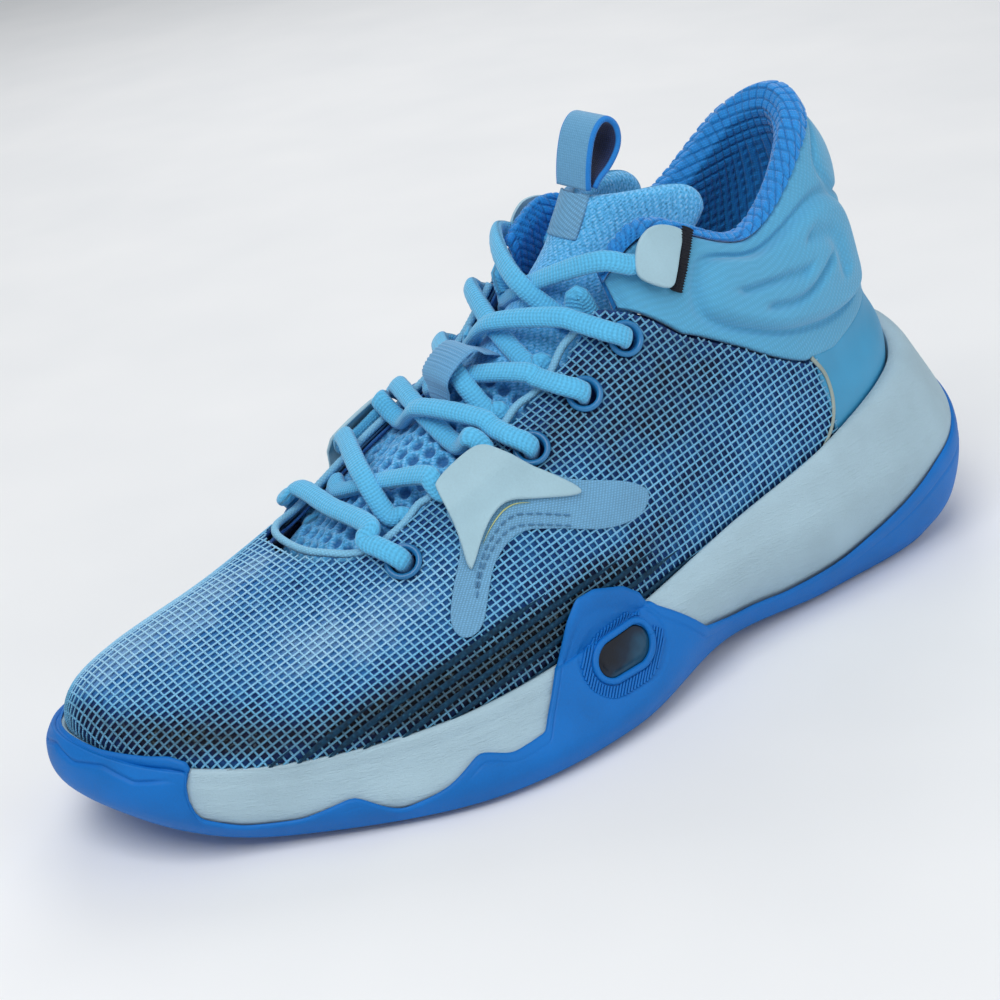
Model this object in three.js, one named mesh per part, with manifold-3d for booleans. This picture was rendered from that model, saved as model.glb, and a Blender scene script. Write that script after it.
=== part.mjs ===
// Basketball high top, left shoe, built as separate pieces around one curved last surface.
// Millimetres, +Z up, toe towards -X, lateral (outer) side towards -Y.
import * as THREE from 'three';
import { mergeVertices } from 'three/addons/utils/BufferGeometryUtils.js';
import Module from 'manifold-3d';

// ---------- driving dimensions ----------
const ORIGIN_X = 6.95;           // the last's own X at the middle of the shoe
const ORIGIN_Y = -3.17;          // the last's own Y at the middle of the shoe
const FIT_GAP = 0.35;            // clearance between pieces that touch
const MESH_THICKNESS = 0.8;
const STAY_TOP = -1.7;           // offsets below the outer skin of the inner layers
const STAY_BOTTOM = -2.2;
const LINING_TOP = -2.95;
const LINING_BOTTOM = -3.6;
const WRAP_THICKNESS = 1.3;      // outsole rubber where it laps up over the midsole
const WRAP_BACK = 0.35;          // offset of the wrap's inner face
const GROUND_RUBBER = 3.4;       // outsole rubber under the foot
const PAD_DROP = 1.6;            // the flat tread pads stand this far below the web
const STROBEL_THICKNESS = 1.4;
const SHANK_THICKNESS = 1.2;
const SOCKLINER_THICKNESS = 4;
const COLLAR_FRONT_THICKNESS = 4.4;
const COLLAR_REAR_THICKNESS = 9.5;
const EYELET_OUTER_RADIUS = 5.2;
const EYELET_INNER_RADIUS = 3.7;
const EYELET_BARREL_RADIUS = 4.2;
const EYELET_HOLE_RADIUS = 4.6;
const LACE_WIDTH = 5.8;
const LACE_THICKNESS = 3.4;
const LACE_LIFT = 2.3;           // lace centre over the surface it lies on
const PIPING_RADIUS = 1.1;
const LOOP_WIDTH = 14;
const LOOP_THICKNESS = 1.8;
const LOOP_CENTRE_Y = -1.5;
const AGLET_LENGTH = 20;
const AGLET_DIAMETER = 3.6;
const MIDSOLE_BACKING = -1.9;    // offset of the midsole's side where the rubber laps over it
const BALL_PAD = { centre: [-62, 2], length: 96, width: 84, grooveHalfWidth: 36, grooves: [-95, -28] };
const HEEL_PAD = { centre: [100, 0], length: 70, width: 54, grooveHalfWidth: 22, grooves: [78, 122] };
const GROOVE_PITCH = 15;
const GROOVE_WIDTH = 1.8;
const GROOVE_DEPTH = 1.4;
const GROOVE_SWING = 3;          // how far a groove's zigzag leaves its middle line
const GROOVE_TEETH = 4;
const WINDOW_STATION = 4.0;
const WINDOW_LEVEL = 2.35;
const WINDOW_HALF_LENGTH = 8.5;
const WINDOW_RADIUS = 5;
const LENS_THICKNESS = 0.8;

// Stations run round the shoe: 0 toe tip, 1 to 7 lateral side, 8 back of heel, 9 to 15 medial side.
const HALF_TURN = 8;
const FULL_TURN = 16;
const STATION_STEP = 0.25;
// The last's centre line bends sideways towards the toe: [x, y of the centre line].
const CENTRE_LINE = [[-150, 12], [-100, 7], [-50, 2], [0, -1], [60, -1], [150, 0]];
// Each level lists [x, lateral half width, medial half width, z] at stations 0 to 8.
const UPPER_LEVELS = [
  // footbed edge
  [[-132, 0, 0, 24], [-121, 20, 22, 20], [-97, 36, 38, 16.5], [-55, 43, 42, 15], [-5, 39, 34, 17],
    [45, 35, 31, 21], [88, 34, 32, 25], [121, 24, 24, 27], [134, 0, 0, 28]],
  // line where the upper leaves the midsole
  [[-143, 0, 0, 33], [-130, 25, 27, 28], [-103, 43, 44, 24.5], [-58, 52, 49, 24], [-5, 48, 40, 28.5],
    [45, 43, 37, 41], [86, 42, 39, 52], [126, 28, 28, 62], [140, 0, 0, 68]],
  [[-141, 0, 0, 44], [-128, 24, 25, 38], [-101, 41, 41, 35], [-57, 51, 47, 40], [-4, 48, 38, 48],
    [45, 43, 36, 62], [84, 40, 37, 70], [122, 25, 25, 80], [134, 0, 0, 85]],
  [[-129, 0, 0, 52], [-117, 19, 19, 48], [-92, 34, 31, 45], [-51, 43, 37, 54], [-2, 44, 35, 68],
    [44, 40, 34, 84], [82, 38, 35, 88], [117, 24, 24, 98], [129, 0, 0, 102]],
  [[-103, 0, 0, 60], [-95, 14, 13, 58], [-75, 28, 24, 57], [-42, 35, 29, 69], [0, 36, 31, 87],
    [42, 34, 31, 107], [80, 34, 32, 104], [114, 22, 22, 120], [126, 0, 0, 127]],
  // throat edge and collar rim
  [[-70, 0, 0, 68], [-68, 14, 12, 68.5], [-57, 23, 20, 69], [-33, 24, 22, 81], [3, 23, 23, 99],
    [38, 26, 25, 130], [76, 28, 27, 119], [108, 19, 19, 141], [118, 0, 0, 149]],
];
const UPPER_FIRST_LEVEL = -1;    // level 0 is the line where the upper leaves the midsole
const SOLE_LEVELS = [
  // ground edge
  [[-140, 0, 0, 13], [-127, 26, 25, 8], [-103, 41, 42, 3], [-57, 60, 50, 1.6], [-8, 58, 38, 2.4],
    [39, 42, 34, 5], [84, 38, 37, 1.6], [132, 32, 32, 2], [150, 0, 0, 6]],
  [[-148, 0, 0, 22], [-135, 28, 28, 17], [-108, 43, 44, 10], [-58, 62, 53, 9], [-8, 61, 42, 10],
    [40, 46, 38, 13], [88, 43, 42, 10], [141, 36, 36, 13], [160, 0, 0, 18]],
  // widest line of the sidewall
  [[-149, 0, 0, 30], [-136, 27, 28, 25], [-108, 43, 44, 18], [-58, 57, 53, 17], [-6, 56, 43, 20],
    [44, 50, 42, 25], [90, 49, 46, 28], [143, 37, 37, 34], [162, 0, 0, 40]],
  // outer edge of the midsole's top lip
  [[-146, 0, 0, 36], [-133, 26, 27, 30.5], [-104, 43.5, 45, 26], [-58, 54, 51, 25.5],
    [-5, 50.5, 42, 30.5], [45, 46, 40, 42], [88, 45, 42, 52], [132, 32, 32, 61], [148, 0, 0, 68]],
];
// Upper edge of the outsole wrap: [station, level], levels over 3 climb on to the upper.
const LATERAL_WAVE = [[0, 3.25], [0.45, 3.25], [1.1, 3.5], [1.3, 3.35], [1.4, 2.4], [1.48, 1.2], [1.8, 0.85],
  [2.1, 0.95], [2.39, 1.5], [2.56, 0.6], [2.8, 1.1], [3.02, 1.8], [3.18, 1.45], [3.4, 1.6], [3.5, 2.3],
  [3.62, 3.2], [3.76, 3.85], [3.9, 3.8], [4.1, 3.4], [4.3, 2.9], [4.48, 2.3], [4.65, 1.6], [5, 1.1],
  [5.45, 1], [6, 1.3], [6.4, 1.63], [6.71, 1.9], [7.23, 2.1], [8, 2.15]];
const MEDIAL_WAVE = [[0, 3.25], [0.45, 3.25], [1.1, 3.5], [1.3, 3.35], [1.4, 2.4], [1.48, 1.2], [1.8, 0.85],
  [2.1, 0.95], [2.39, 1.5], [2.56, 0.6], [2.8, 1.1], [3.02, 1.8], [3.25, 1.4], [3.5, 1.9], [3.75, 2.6],
  [4.0, 2.6], [4.3, 1.8], [4.65, 1.2], [5, 1.05], [5.45, 1], [6, 1.3], [6.4, 1.63], [6.71, 1.9],
  [7.23, 2.1], [8, 2.15]];
// Seam between the quarter and the padded collar: [station, level].
const COLLAR_SEAM = [[4.5, 3.85], [5, 2.71], [5.47, 2.19], [6.05, 1.42], [6.38, 1.14], [6.74, 1.1], [8, 1.1]];
const QUARTER_END = 6.12;        // station where the net ends and the heel panel starts
const COLLAR_FRONT = 4.62;        // station of the collar's front corner
const COLLAR_TOP = 3.9;          // level of the collar's padding at the rim
// Tongue stations from the vamp to the top edge:
// [x, z of the centre line, half width, drop of the sides, direction of the drop below level, half arc]
const TONGUE_STATIONS = [
  [-78, 53, 15, 5, 75, 55],
  [-58, 66, 19.5, 13, 68, 66],
  [-35, 80, 20.6, 18, 62, 70],
  [-12, 93.5, 20.4, 22, 60, 76],
  [10, 107.5, 20.8, 23, 50, 82],
  [26, 123, 18.5, 30, 28, 86],
  [31.5, 131, 18, 34, 14, 88],
  [36, 138.5, 17.5, 36, 4, 88],
];
// The pull loop's centre line, x and z: both legs meet at the tongue's top edge.
const LOOP_PATH = [[36.6, 140.2], [37, 144], [38.4, 150], [41, 156.4], [45.3, 159.6], [49.3, 156.6],
  [49.6, 150.6], [45.4, 145.4], [40.6, 142.4], [38.9, 140.2]];
const TONGUE_SPLIT = 5.25;       // station of the flex line above the top lace
const TONGUE_THICKNESS = 5.5;
const TONGUE_TOP_THICKNESS = 7;
// Lace rows from the toe up: [station, level] of the eyelets; row 2 is the wing, row 6 the top tab.
const EYELET_ROWS = { 1: [2.6, 3.1], 3: [3.7, 3.18], 4: [4.17, 3.18], 5: [4.58, 3.2] };
const TAB_HOLE = [5.02, 3.62];
// The lace's end inside the collar: [station, level, offset].
const LACE_TAIL = [[5.08, 3.5, -8], [5.24, 3.2, -9.6], [5.42, 2.8, -10.6], [5.6, 2.4, -11.5]];
// Stations where the lace passes the throat's edge: over it into a row, and out from under it.
const OVER_EDGE = { 1: 2.08, 2: 2.78, 3: 3.42, 4: 3.88, 5: 4.3 };
const UNDER_EDGE = { 1: 2.26, 2: 3.24, 3: 3.57, 4: 4.0, 5: 4.42 };
// Place along the tongue that lies beside each station of the throat's edge.
const TONGUE_BY_THROAT = [[1.6, 0.88], [2, 1.1], [2.6, 1.62], [3, 2.05], [3.6, 2.9], [4.2, 3.84], [4.6, 4.5],
  [4.8, 4.9]];
// Where the lace goes under the wing and comes back: [station, level].
const WING_TURN = [[OVER_EDGE[2], 4.16], [2.83, 4.02], [2.92, 3.76], [3.04, 3.53], [3.17, 3.43],
  [3.31, 3.5], [3.37, 3.73], [3.3, 4.02], [UNDER_EDGE[2], 4.16]];
const TAB_APPROACH = [[4.68, 4.1], [4.82, 3.8]];

const wasm = await Module();
wasm.setup();

// ---------- numbers ----------
const lerp = (a, b, t) => a + (b - a) * t;

function interpolate(table, x) {
  if (x <= table[0][0]) return table[0][1];
  for (let i = 1; i < table.length; i += 1) {
    if (x <= table[i][0]) {
      const [x0, y0] = table[i - 1];
      const [x1, y1] = table[i];
      return lerp(y0, y1, (x - x0) / (x1 - x0));
    }
  }
  return table[table.length - 1][1];
}

function catmull(p0, p1, p2, p3, t) {
  return 0.5 * (2 * p1 + (p2 - p0) * t + (2 * p0 - 5 * p1 + 4 * p2 - p3) * t * t
    + (3 * p1 - p0 - 3 * p2 + p3) * t * t * t);
}

// Station measured from the toe tip to the heel, the same on both sides.
function foldStation(s) {
  const turn = ((s % FULL_TURN) + FULL_TURN) % FULL_TURN;
  return turn > HALF_TURN ? FULL_TURN - turn : turn;
}

const isMedial = (s) => ((s % FULL_TURN) + FULL_TURN) % FULL_TURN > HALF_TURN;

// ---------- the two curved surfaces that everything follows ----------
function makeSurface(levels, firstLevel) {
  const rings = levels.map((level) => {
    const ring = [];
    for (let s = 0; s < FULL_TURN; s += 1) {
      const [x, lateral, medial, z] = level[foldStation(s)];
      const side = isMedial(s) ? medial : -lateral;
      ring.push([x - ORIGIN_X, interpolate(CENTRE_LINE, x) + side - ORIGIN_Y, z]);
    }
    return ring;
  });
  const onRing = (ring, s, axis) => {
    const i = Math.floor(s);
    const at = (k) => ring[(((i + k) % FULL_TURN) + FULL_TURN) % FULL_TURN][axis];
    return catmull(at(-1), at(0), at(1), at(2), s - i);
  };
  const last = rings.length - 1;
  const coordinate = (s, level, axis) => {
    const value = (k) => {
      if (k < 0) return 2 * onRing(rings[0], s, axis) - onRing(rings[1], s, axis);
      if (k > last) return 2 * onRing(rings[last], s, axis) - onRing(rings[last - 1], s, axis);
      return onRing(rings[k], s, axis);
    };
    const height = level - firstLevel;
    const i = Math.max(0, Math.min(last - 1, Math.floor(height)));
    return catmull(value(i - 1), value(i), value(i + 1), value(i + 2), height - i);
  };
  const point = (s, level) => new THREE.Vector3(
    coordinate(s, level, 0), coordinate(s, level, 1), coordinate(s, level, 2));
  const normal = (s, level) => {
    const along = point(s + 0.02, level).sub(point(s - 0.02, level));
    const up = point(s, level + 0.02).sub(point(s, level - 0.02));
    return along.cross(up).normalize();
  };
  const at = (s, level, offset = 0) => point(s, level).addScaledVector(normal(s, level), offset);
  return { at, normal };
}

const upper = makeSurface(UPPER_LEVELS, UPPER_FIRST_LEVEL);
const sole = makeSurface(SOLE_LEVELS, 0);

const collarSeam = (s) => interpolate(COLLAR_SEAM, foldStation(s));
const collarThickness = (s) => {
  const t = THREE.MathUtils.smoothstep(foldStation(s), COLLAR_FRONT, 6.6);
  return lerp(COLLAR_FRONT_THICKNESS, COLLAR_REAR_THICKNESS, t);
};
const THROAT_LEVEL = 3.9;
const quarterTop = (s) => Math.min(THROAT_LEVEL, collarSeam(s) - 0.03);

// ---------- solids ----------
function fromTriangles(points, faces) {
  const geometry = new THREE.BufferGeometry();
  const flat = [];
  for (const p of points) flat.push(p.x, p.y, p.z);
  geometry.setAttribute('position', new THREE.Float32BufferAttribute(flat, 3));
  geometry.setIndex(faces.flat());
  return geometry;
}

// A solid from a grid of points, rows by columns. The rows close on themselves: each row is a
// closed section. The columns close too, or both end sections are capped.
function sectionSolid(sections, { closed = false } = {}) {
  const rows = sections.length;
  const count = sections[0].length;
  const points = sections.flat();
  const faces = [];
  const id = (r, c) => (r % rows) * count + (c % count);
  const quad = (a, b, c, d) => faces.push([a, b, c], [a, c, d]);
  for (let r = 0; r < (closed ? rows : rows - 1); r += 1) {
    for (let c = 0; c < count; c += 1) quad(id(r, c), id(r, c + 1), id(r + 1, c + 1), id(r + 1, c));
  }
  if (!closed) {
    // Sections are two sides of equal length, so a cap is a ladder between them.
    const half = count / 2;
    for (let c = 0; c < half - 1; c += 1) {
      quad(id(0, count - 1 - c), id(0, count - 2 - c), id(0, c + 1), id(0, c));
      const r = rows - 1;
      quad(id(r, c), id(r, c + 1), id(r, count - 2 - c), id(r, count - 1 - c));
    }
  }
  return outward(fromTriangles(points, faces));
}

function signedVolume(geometry) {
  const position = geometry.attributes.position;
  const index = geometry.index.array;
  const [a, b, c] = [new THREE.Vector3(), new THREE.Vector3(), new THREE.Vector3()];
  let volume = 0;
  for (let i = 0; i < index.length; i += 3) {
    a.fromBufferAttribute(position, index[i]);
    b.fromBufferAttribute(position, index[i + 1]);
    c.fromBufferAttribute(position, index[i + 2]);
    volume += a.dot(b.cross(c)) / 6;
  }
  return volume;
}

function outward(geometry) {
  if (signedVolume(geometry) < 0) {
    const index = geometry.index.array;
    for (let i = 0; i < index.length; i += 3) {
      [index[i + 1], index[i + 2]] = [index[i + 2], index[i + 1]];
    }
  }
  return geometry;
}

// Every band breaks at the same stations, so that layers keep their distance.
function stationsBetween(from, to, closed = false) {
  const [s0, s1] = from < to ? [from, to] : [to, from];
  const inner = [];
  for (let i = Math.ceil(s0 / STATION_STEP); i * STATION_STEP < s1 - 0.02; i += 1) {
    if (closed || i * STATION_STEP > s0 + 0.02) inner.push(i * STATION_STEP);
  }
  return closed ? inner : [s0, ...inner, s1];
}

// A band of skin: stations from s0 to s1, levels between two edges, between two offsets.
function skinBand(surface, { s0, s1, low, high, rows, inner, outer, closed = false }) {
  const value = (f, s, v) => (typeof f === 'function' ? f(s, v) : f);
  const sections = [];
  for (const s of stationsBetween(s0, s1, closed)) {
    const section = [];
    const side = (offset, reverse) => {
      for (let j = 0; j <= rows; j += 1) {
        const v = (reverse ? rows - j : j) / rows;
        const level = lerp(value(low, s), value(high, s), v);
        section.push(surface.at(s, level, value(offset, s, v)));
      }
    };
    side(outer, false);
    side(inner, true);
    sections.push(section);
  }
  return sectionSolid(sections, { closed });
}

// A flat strip that follows a list of skin points: [station, level, offset, half width].
function skinStrip(path, { thickness, steps, lift = 0 }) {
  const curves = [0, 1, 2, 3].map((k) => new THREE.SplineCurve(
    path.map((p, i) => new THREE.Vector2(i, p[k]))));
  const read = (k, t) => curves[k].getPoint(t).y;
  const centre = (t, extra) => upper.at(read(0, t), read(1, t), read(2, t) + extra);
  const sections = [];
  for (let i = 0; i <= steps; i += 1) {
    const t = i / steps;
    const ahead = centre(Math.min(1, t + 0.01), 0).sub(centre(Math.max(0, t - 0.01), 0)).normalize();
    const normal = upper.normal(read(0, t), read(1, t));
    const across = new THREE.Vector3().crossVectors(normal, ahead).normalize();
    const half = read(3, t);
    const corner = (side, extra) => centre(t, lift + extra).addScaledVector(across, side * half);
    sections.push([corner(-1, 0), corner(0, 0), corner(1, 0),
      corner(1, thickness), corner(0, thickness), corner(-1, thickness)]);
  }
  return sectionSolid(sections);
}

// A solid from closed rings of equal count that are the same left and right of the middle line.
// The first and last rings are filled straight across, from each point to its mirror image.
function ringSolid(rings) {
  const count = rings[0].length;
  const faces = [];
  const id = (r, c) => r * count + ((c + count) % count);
  const quad = (a, b, c, d) => faces.push([a, b, c], [a, c, d]);
  for (let r = 0; r < rings.length - 1; r += 1) {
    for (let c = 0; c < count; c += 1) quad(id(r, c), id(r, c + 1), id(r + 1, c + 1), id(r + 1, c));
  }
  const last = rings.length - 1;
  const half = count / 2;
  for (let c = 0; c < half; c += 1) {
    const across = (r, k) => id(r, count - k);
    if (c === 0) {
      faces.push([id(0, 0), across(0, 1), id(0, 1)], [id(last, 0), id(last, 1), across(last, 1)]);
    } else if (c === half - 1) {
      faces.push([id(0, c), across(0, c), id(0, half)], [id(last, c), id(last, half), across(last, c)]);
    } else {
      quad(id(0, c), across(0, c), across(0, c + 1), id(0, c + 1));
      quad(id(last, c), id(last, c + 1), across(last, c + 1), across(last, c));
    }
  }
  return outward(fromTriangles(rings.flat(), faces));
}

function toManifold(geometry) {
  const bare = geometry.clone();
  bare.deleteAttribute('normal');
  bare.deleteAttribute('uv');
  const merged = mergeVertices(bare, 1e-4);
  return new wasm.Manifold(new wasm.Mesh({
    numProp: 3,
    vertProperties: Float32Array.from(merged.attributes.position.array),
    triVerts: Uint32Array.from(merged.index.array),
  }));
}

function fromManifold(solid) {
  const mesh = solid.getMesh();
  const geometry = new THREE.BufferGeometry();
  geometry.setAttribute('position', new THREE.Float32BufferAttribute(mesh.vertProperties, 3));
  geometry.setIndex(Array.from(mesh.triVerts));
  return geometry;
}

function cut(geometry, tools) {
  let solid = toManifold(geometry);
  for (const tool of tools) solid = solid.subtract(toManifold(tool));
  return fromManifold(solid);
}

function join(geometry, others) {
  let solid = toManifold(geometry);
  for (const other of others) solid = solid.add(toManifold(other));
  return fromManifold(solid);
}

// Turns a geometry made round its own Z axis so that Z follows the skin's normal at a point.
function placeOnSkin(geometry, s, level) {
  const turn = new THREE.Quaternion().setFromUnitVectors(
    new THREE.Vector3(0, 0, 1), upper.normal(s, level));
  return geometry.applyQuaternion(turn).translate(...upper.at(s, level).toArray());
}

const medialStation = (s) => FULL_TURN - s;
const onSide = (side, s) => (side === 'lateral' ? s : medialStation(s));

// ---------- sole unit ----------
const soleStations = stationsBetween(0, FULL_TURN, true);

// The sidewall carries on from the midsole's lip up over the foot of the upper.
function sidewall(s, level, offset) {
  if (level <= 3) return sole.at(s, level, offset);
  return upper.at(s, level - 3, offset + 0.9);
}

function outsoleGeometry() {
  const wave = (s) => interpolate(isMedial(s) ? MEDIAL_WAVE : LATERAL_WAVE, foldStation(s));
  const LIP = 3;
  const START = 0.18;
  const WRAP_ROWS = 4;
  // Rows climb evenly to the wave, but keep one on the midsole's lip where the wrap passes it.
  const rowLevel = (s, row) => {
    const top = wave(s);
    if (row === WRAP_ROWS) return top;
    return top > LIP ? lerp(START, LIP, row / (WRAP_ROWS - 1)) : lerp(START, top, row / WRAP_ROWS);
  };
  const ringAt = (row, offset) => soleStations.map((s) => sidewall(s, rowLevel(s, row), offset));
  const ground = (inset, lift) => soleStations.map((s) => {
    const p = sole.at(s, 0, -inset);
    return new THREE.Vector3(p.x, p.y, sole.at(s, 0).z + lift);
  });
  const rings = [ground(2, 0)];
  for (let row = 0; row <= WRAP_ROWS; row += 1) rings.push(ringAt(row, WRAP_THICKNESS));
  for (let row = WRAP_ROWS; row >= 0; row -= 1) rings.push(ringAt(row, WRAP_BACK));
  rings.push(ground(4.5, GROUND_RUBBER));
  return ringSolid(rings);
}

// Tread pads are flat on the ground, under the ball and under the heel.
function treadPad({ centre: [x, y], length, width }) {
  const outline = new THREE.Shape();
  outline.absellipse(x - ORIGIN_X, y - ORIGIN_Y, length / 2, width / 2, 0, Math.PI * 2, false, 0);
  const depth = PAD_DROP + 2.2;
  return new THREE.ExtrudeGeometry(outline, { depth, bevelEnabled: false, curveSegments: 10 });
}

function treadGroove(x, halfWidth) {
  const margin = 0.8;
  const edge = (i, shift) => new THREE.Vector2(
    x - ORIGIN_X + shift + (i % 2 ? GROOVE_SWING : -GROOVE_SWING),
    lerp(-halfWidth, halfWidth, i / GROOVE_TEETH));
  const corners = [];
  for (let i = 0; i <= GROOVE_TEETH; i += 1) corners.push(edge(i, -GROOVE_WIDTH / 2));
  for (let i = GROOVE_TEETH; i >= 0; i -= 1) corners.push(edge(i, GROOVE_WIDTH / 2));
  const depth = GROOVE_DEPTH + margin;
  const groove = new THREE.ExtrudeGeometry(new THREE.Shape(corners), { depth, bevelEnabled: false });
  return groove.translate(0, 0, -margin);
}

// The zigzag grooves across one tread pad.
function padGrooves({ grooves: [first, last], grooveHalfWidth }) {
  const grooves = [];
  for (let x = first; x <= last; x += GROOVE_PITCH) grooves.push(treadGroove(x, grooveHalfWidth));
  return grooves;
}

// A capsule, the outline of the window in the sidewall.
function windowOutline(grow) {
  const outline = new THREE.Shape();
  const halfLength = WINDOW_HALF_LENGTH + grow;
  const radius = WINDOW_RADIUS + grow;
  outline.absarc(-halfLength + radius, 0, radius, Math.PI / 2, Math.PI * 1.5, false);
  outline.absarc(halfLength - radius, 0, radius, -Math.PI / 2, Math.PI / 2, false);
  return outline;
}

function placeOnSidewall(geometry, s, level) {
  const normal = sole.normal(s, level);
  const along = sole.at(s + 0.05, level).sub(sole.at(s - 0.05, level)).normalize();
  const rise = new THREE.Vector3().crossVectors(normal, along);
  const turn = new THREE.Matrix4().makeBasis(along, rise, normal);
  return geometry.applyMatrix4(turn).translate(...sole.at(s, level).toArray());
}

// The window's outline made solid, from a height over the sidewall's own surface.
function windowPlug(grow, height, depth) {
  const solid = { depth, bevelEnabled: false, curveSegments: 6 };
  const plug = new THREE.ExtrudeGeometry(windowOutline(grow), solid);
  return placeOnSidewall(plug.translate(0, 0, height), WINDOW_STATION, WINDOW_LEVEL);
}

function midsoleGeometry() {
  const stations = soleStations;
  const ring = (level) => stations.map((s) => sole.at(s, level, MIDSOLE_BACKING));
  const wall = (level) => stations.map((s) => upper.at(s, level, 2 * FIT_GAP));
  const floor = (inset, lift) => stations.map((s) => {
    const p = upper.at(s, UPPER_FIRST_LEVEL, 0);
    const normal = upper.normal(s, UPPER_FIRST_LEVEL).setZ(0).normalize();
    return p.addScaledVector(normal, -inset).add(new THREE.Vector3(0, 0, lift));
  });
  const base = stations.map((s) => {
    const p = sole.at(s, 0, -6);
    return new THREE.Vector3(p.x, p.y, sole.at(s, 0).z + GROUND_RUBBER + FIT_GAP);
  });
  const foot = -(STROBEL_THICKNESS + SHANK_THICKNESS + 3 * FIT_GAP);
  return ringSolid([base, ring(0.6), ring(1.2), ring(2), ring(3), wall(0), wall(-0.3),
    wall(-0.98), floor(0, foot)]);
}

// A plate under the foot that follows the footbed edge, drawn in by an inset.
function footPlate(inset, top, bottom, fromX = -Infinity, toX = Infinity) {
  const stations = soleStations.filter((_, i) => i % 2 === 0);
  const ring = (lift) => stations.map((s) => {
    const p = upper.at(s, UPPER_FIRST_LEVEL, 0);
    const normal = upper.normal(s, UPPER_FIRST_LEVEL).setZ(0).normalize();
    p.addScaledVector(normal, -inset);
    p.z += lift;
    return p;
  });
  const plate = ringSolid([ring(bottom), ring(top)]);
  if (fromX === -Infinity) return plate;
  const span = new THREE.BoxGeometry(toX - fromX, 200, 200).translate((fromX + toX) / 2, 0, 50);
  return fromManifold(toManifold(plate).intersect(toManifold(span)));
}

// ---------- upper ----------
const holeTool = (s, level) => placeOnSkin(
  new THREE.CylinderGeometry(EYELET_HOLE_RADIUS, EYELET_HOLE_RADIUS, 14, 10).rotateX(Math.PI / 2),
  s, level);

const eyelets = [];
for (const side of ['lateral', 'medial']) {
  for (const [row, [s, level]] of Object.entries(EYELET_ROWS)) {
    eyelets.push({ name: `eyelet_${side}_${row}`, side, row: Number(row), s: onSide(side, s), level });
  }
}
const eyeletHoles = eyelets.map((e) => holeTool(e.s, e.level));

const meshUpper = cut(skinBand(upper, {
  s0: -QUARTER_END, s1: QUARTER_END, low: -0.25, high: quarterTop, rows: 7,
  inner: -MESH_THICKNESS, outer: 0,
}), eyeletHoles);

const liningTop = (s) => (foldStation(s) < QUARTER_END ? quarterTop(s) : 1.05);
const bootieLining = cut(skinBand(upper, {
  s0: 0, s1: FULL_TURN, low: UPPER_FIRST_LEVEL, high: liningTop, rows: 5,
  inner: LINING_BOTTOM, outer: LINING_TOP, closed: true,
}), eyeletHoles);

function eyestay(side) {
  const band = skinBand(upper, {
    s0: onSide(side, 2.2), s1: onSide(side, 4.75),
    low: (s) => quarterTop(s) - 1.15, high: (s) => quarterTop(s) - 0.08, rows: 4,
    inner: STAY_BOTTOM, outer: STAY_TOP,
  });
  return cut(band, eyelets.filter((e) => e.side === side).map((e) => holeTool(e.s, e.level)));
}

function eyeletGeometry() {
  const flangeBottom = FIT_GAP;
  const flangeTop = FIT_GAP + 0.9;
  const barrelEnd = LINING_BOTTOM - 0.3;
  const profile = [
    [EYELET_INNER_RADIUS, barrelEnd], [EYELET_BARREL_RADIUS, barrelEnd],
    [EYELET_BARREL_RADIUS, flangeBottom], [EYELET_OUTER_RADIUS, flangeBottom],
    [EYELET_OUTER_RADIUS - 0.3, flangeTop], [EYELET_INNER_RADIUS, flangeTop],
    [EYELET_INNER_RADIUS, barrelEnd],
  ].map(([r, z]) => new THREE.Vector2(r, z));
  return new THREE.LatheGeometry(profile, 10).rotateX(Math.PI / 2);
}

const toePuff = skinBand(upper, {
  s0: -1.75, s1: 1.75, low: -0.3, high: 1.5, rows: 4, inner: STAY_BOTTOM, outer: STAY_TOP,
});
const heelCounter = skinBand(upper, {
  s0: 6, s1: FULL_TURN - 6, low: -0.6, high: 1.05, rows: 4,
  inner: STAY_BOTTOM, outer: STAY_TOP,
});
const heelPanel = skinBand(upper, {
  s0: QUARTER_END + 0.04, s1: FULL_TURN - QUARTER_END - 0.04, low: -0.25,
  high: (s) => collarSeam(s) - 0.03, rows: 3, inner: -MESH_THICKNESS, outer: 0,
});

function edgeTrim(side) {
  const edge = [[6.06, 0.02], [6.18, 0.35], [6.16, 0.85], [6.1, 1.32]];
  return skinStrip(edge.map(([s, level]) => [onSide(side, s), level, 0, 0.8]),
    { thickness: 0.6, steps: 6, lift: FIT_GAP });
}

const collarBand = (low, top, inner, outer, front = COLLAR_FRONT) => skinBand(upper, {
  s0: front, s1: FULL_TURN - front, low, high: top, rows: 4, inner, outer,
});
const tabHoles = ['lateral', 'medial'].map((side) => holeTool(onSide(side, TAB_HOLE[0]), TAB_HOLE[1]));
const collarPad = cut(
  collarBand((s) => collarSeam(s) + 0.03, COLLAR_TOP, (s) => -0.45 * collarThickness(s), 0), tabHoles);
const ankleFoam = collarBand(1.35, COLLAR_TOP - 0.35,
  (s) => -collarThickness(s) + 2.4, (s) => -0.45 * collarThickness(s) - 0.5, 6.5);

// The lining climbs the inside of the collar and rolls over its rim.
function collarLiningGeometry() {
  const sections = [];
  for (const s of stationsBetween(COLLAR_FRONT, FULL_TURN - COLLAR_FRONT)) {
    const deep = collarThickness(s);
    const low = Math.max(collarSeam(s) + 0.1, 1.2);
    const inside = [[-deep, low], [-deep, lerp(low, 3.6, 0.5)], [-deep, 3.6], [-deep + 0.6, 4.02],
      [-deep / 2, 4.13], [-0.2, 4.06]];
    const outside = [[-0.2, 3.96], [-deep / 2, 4.02], [-deep + 1.5, 3.95], [-deep + 1.1, 3.6],
      [-deep + 1.1, lerp(low, 3.6, 0.5)], [-deep + 1.1, low]];
    sections.push([...inside, ...outside].map(([offset, level]) => upper.at(s, level, offset)));
  }
  return sectionSolid(sections);
}

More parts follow.
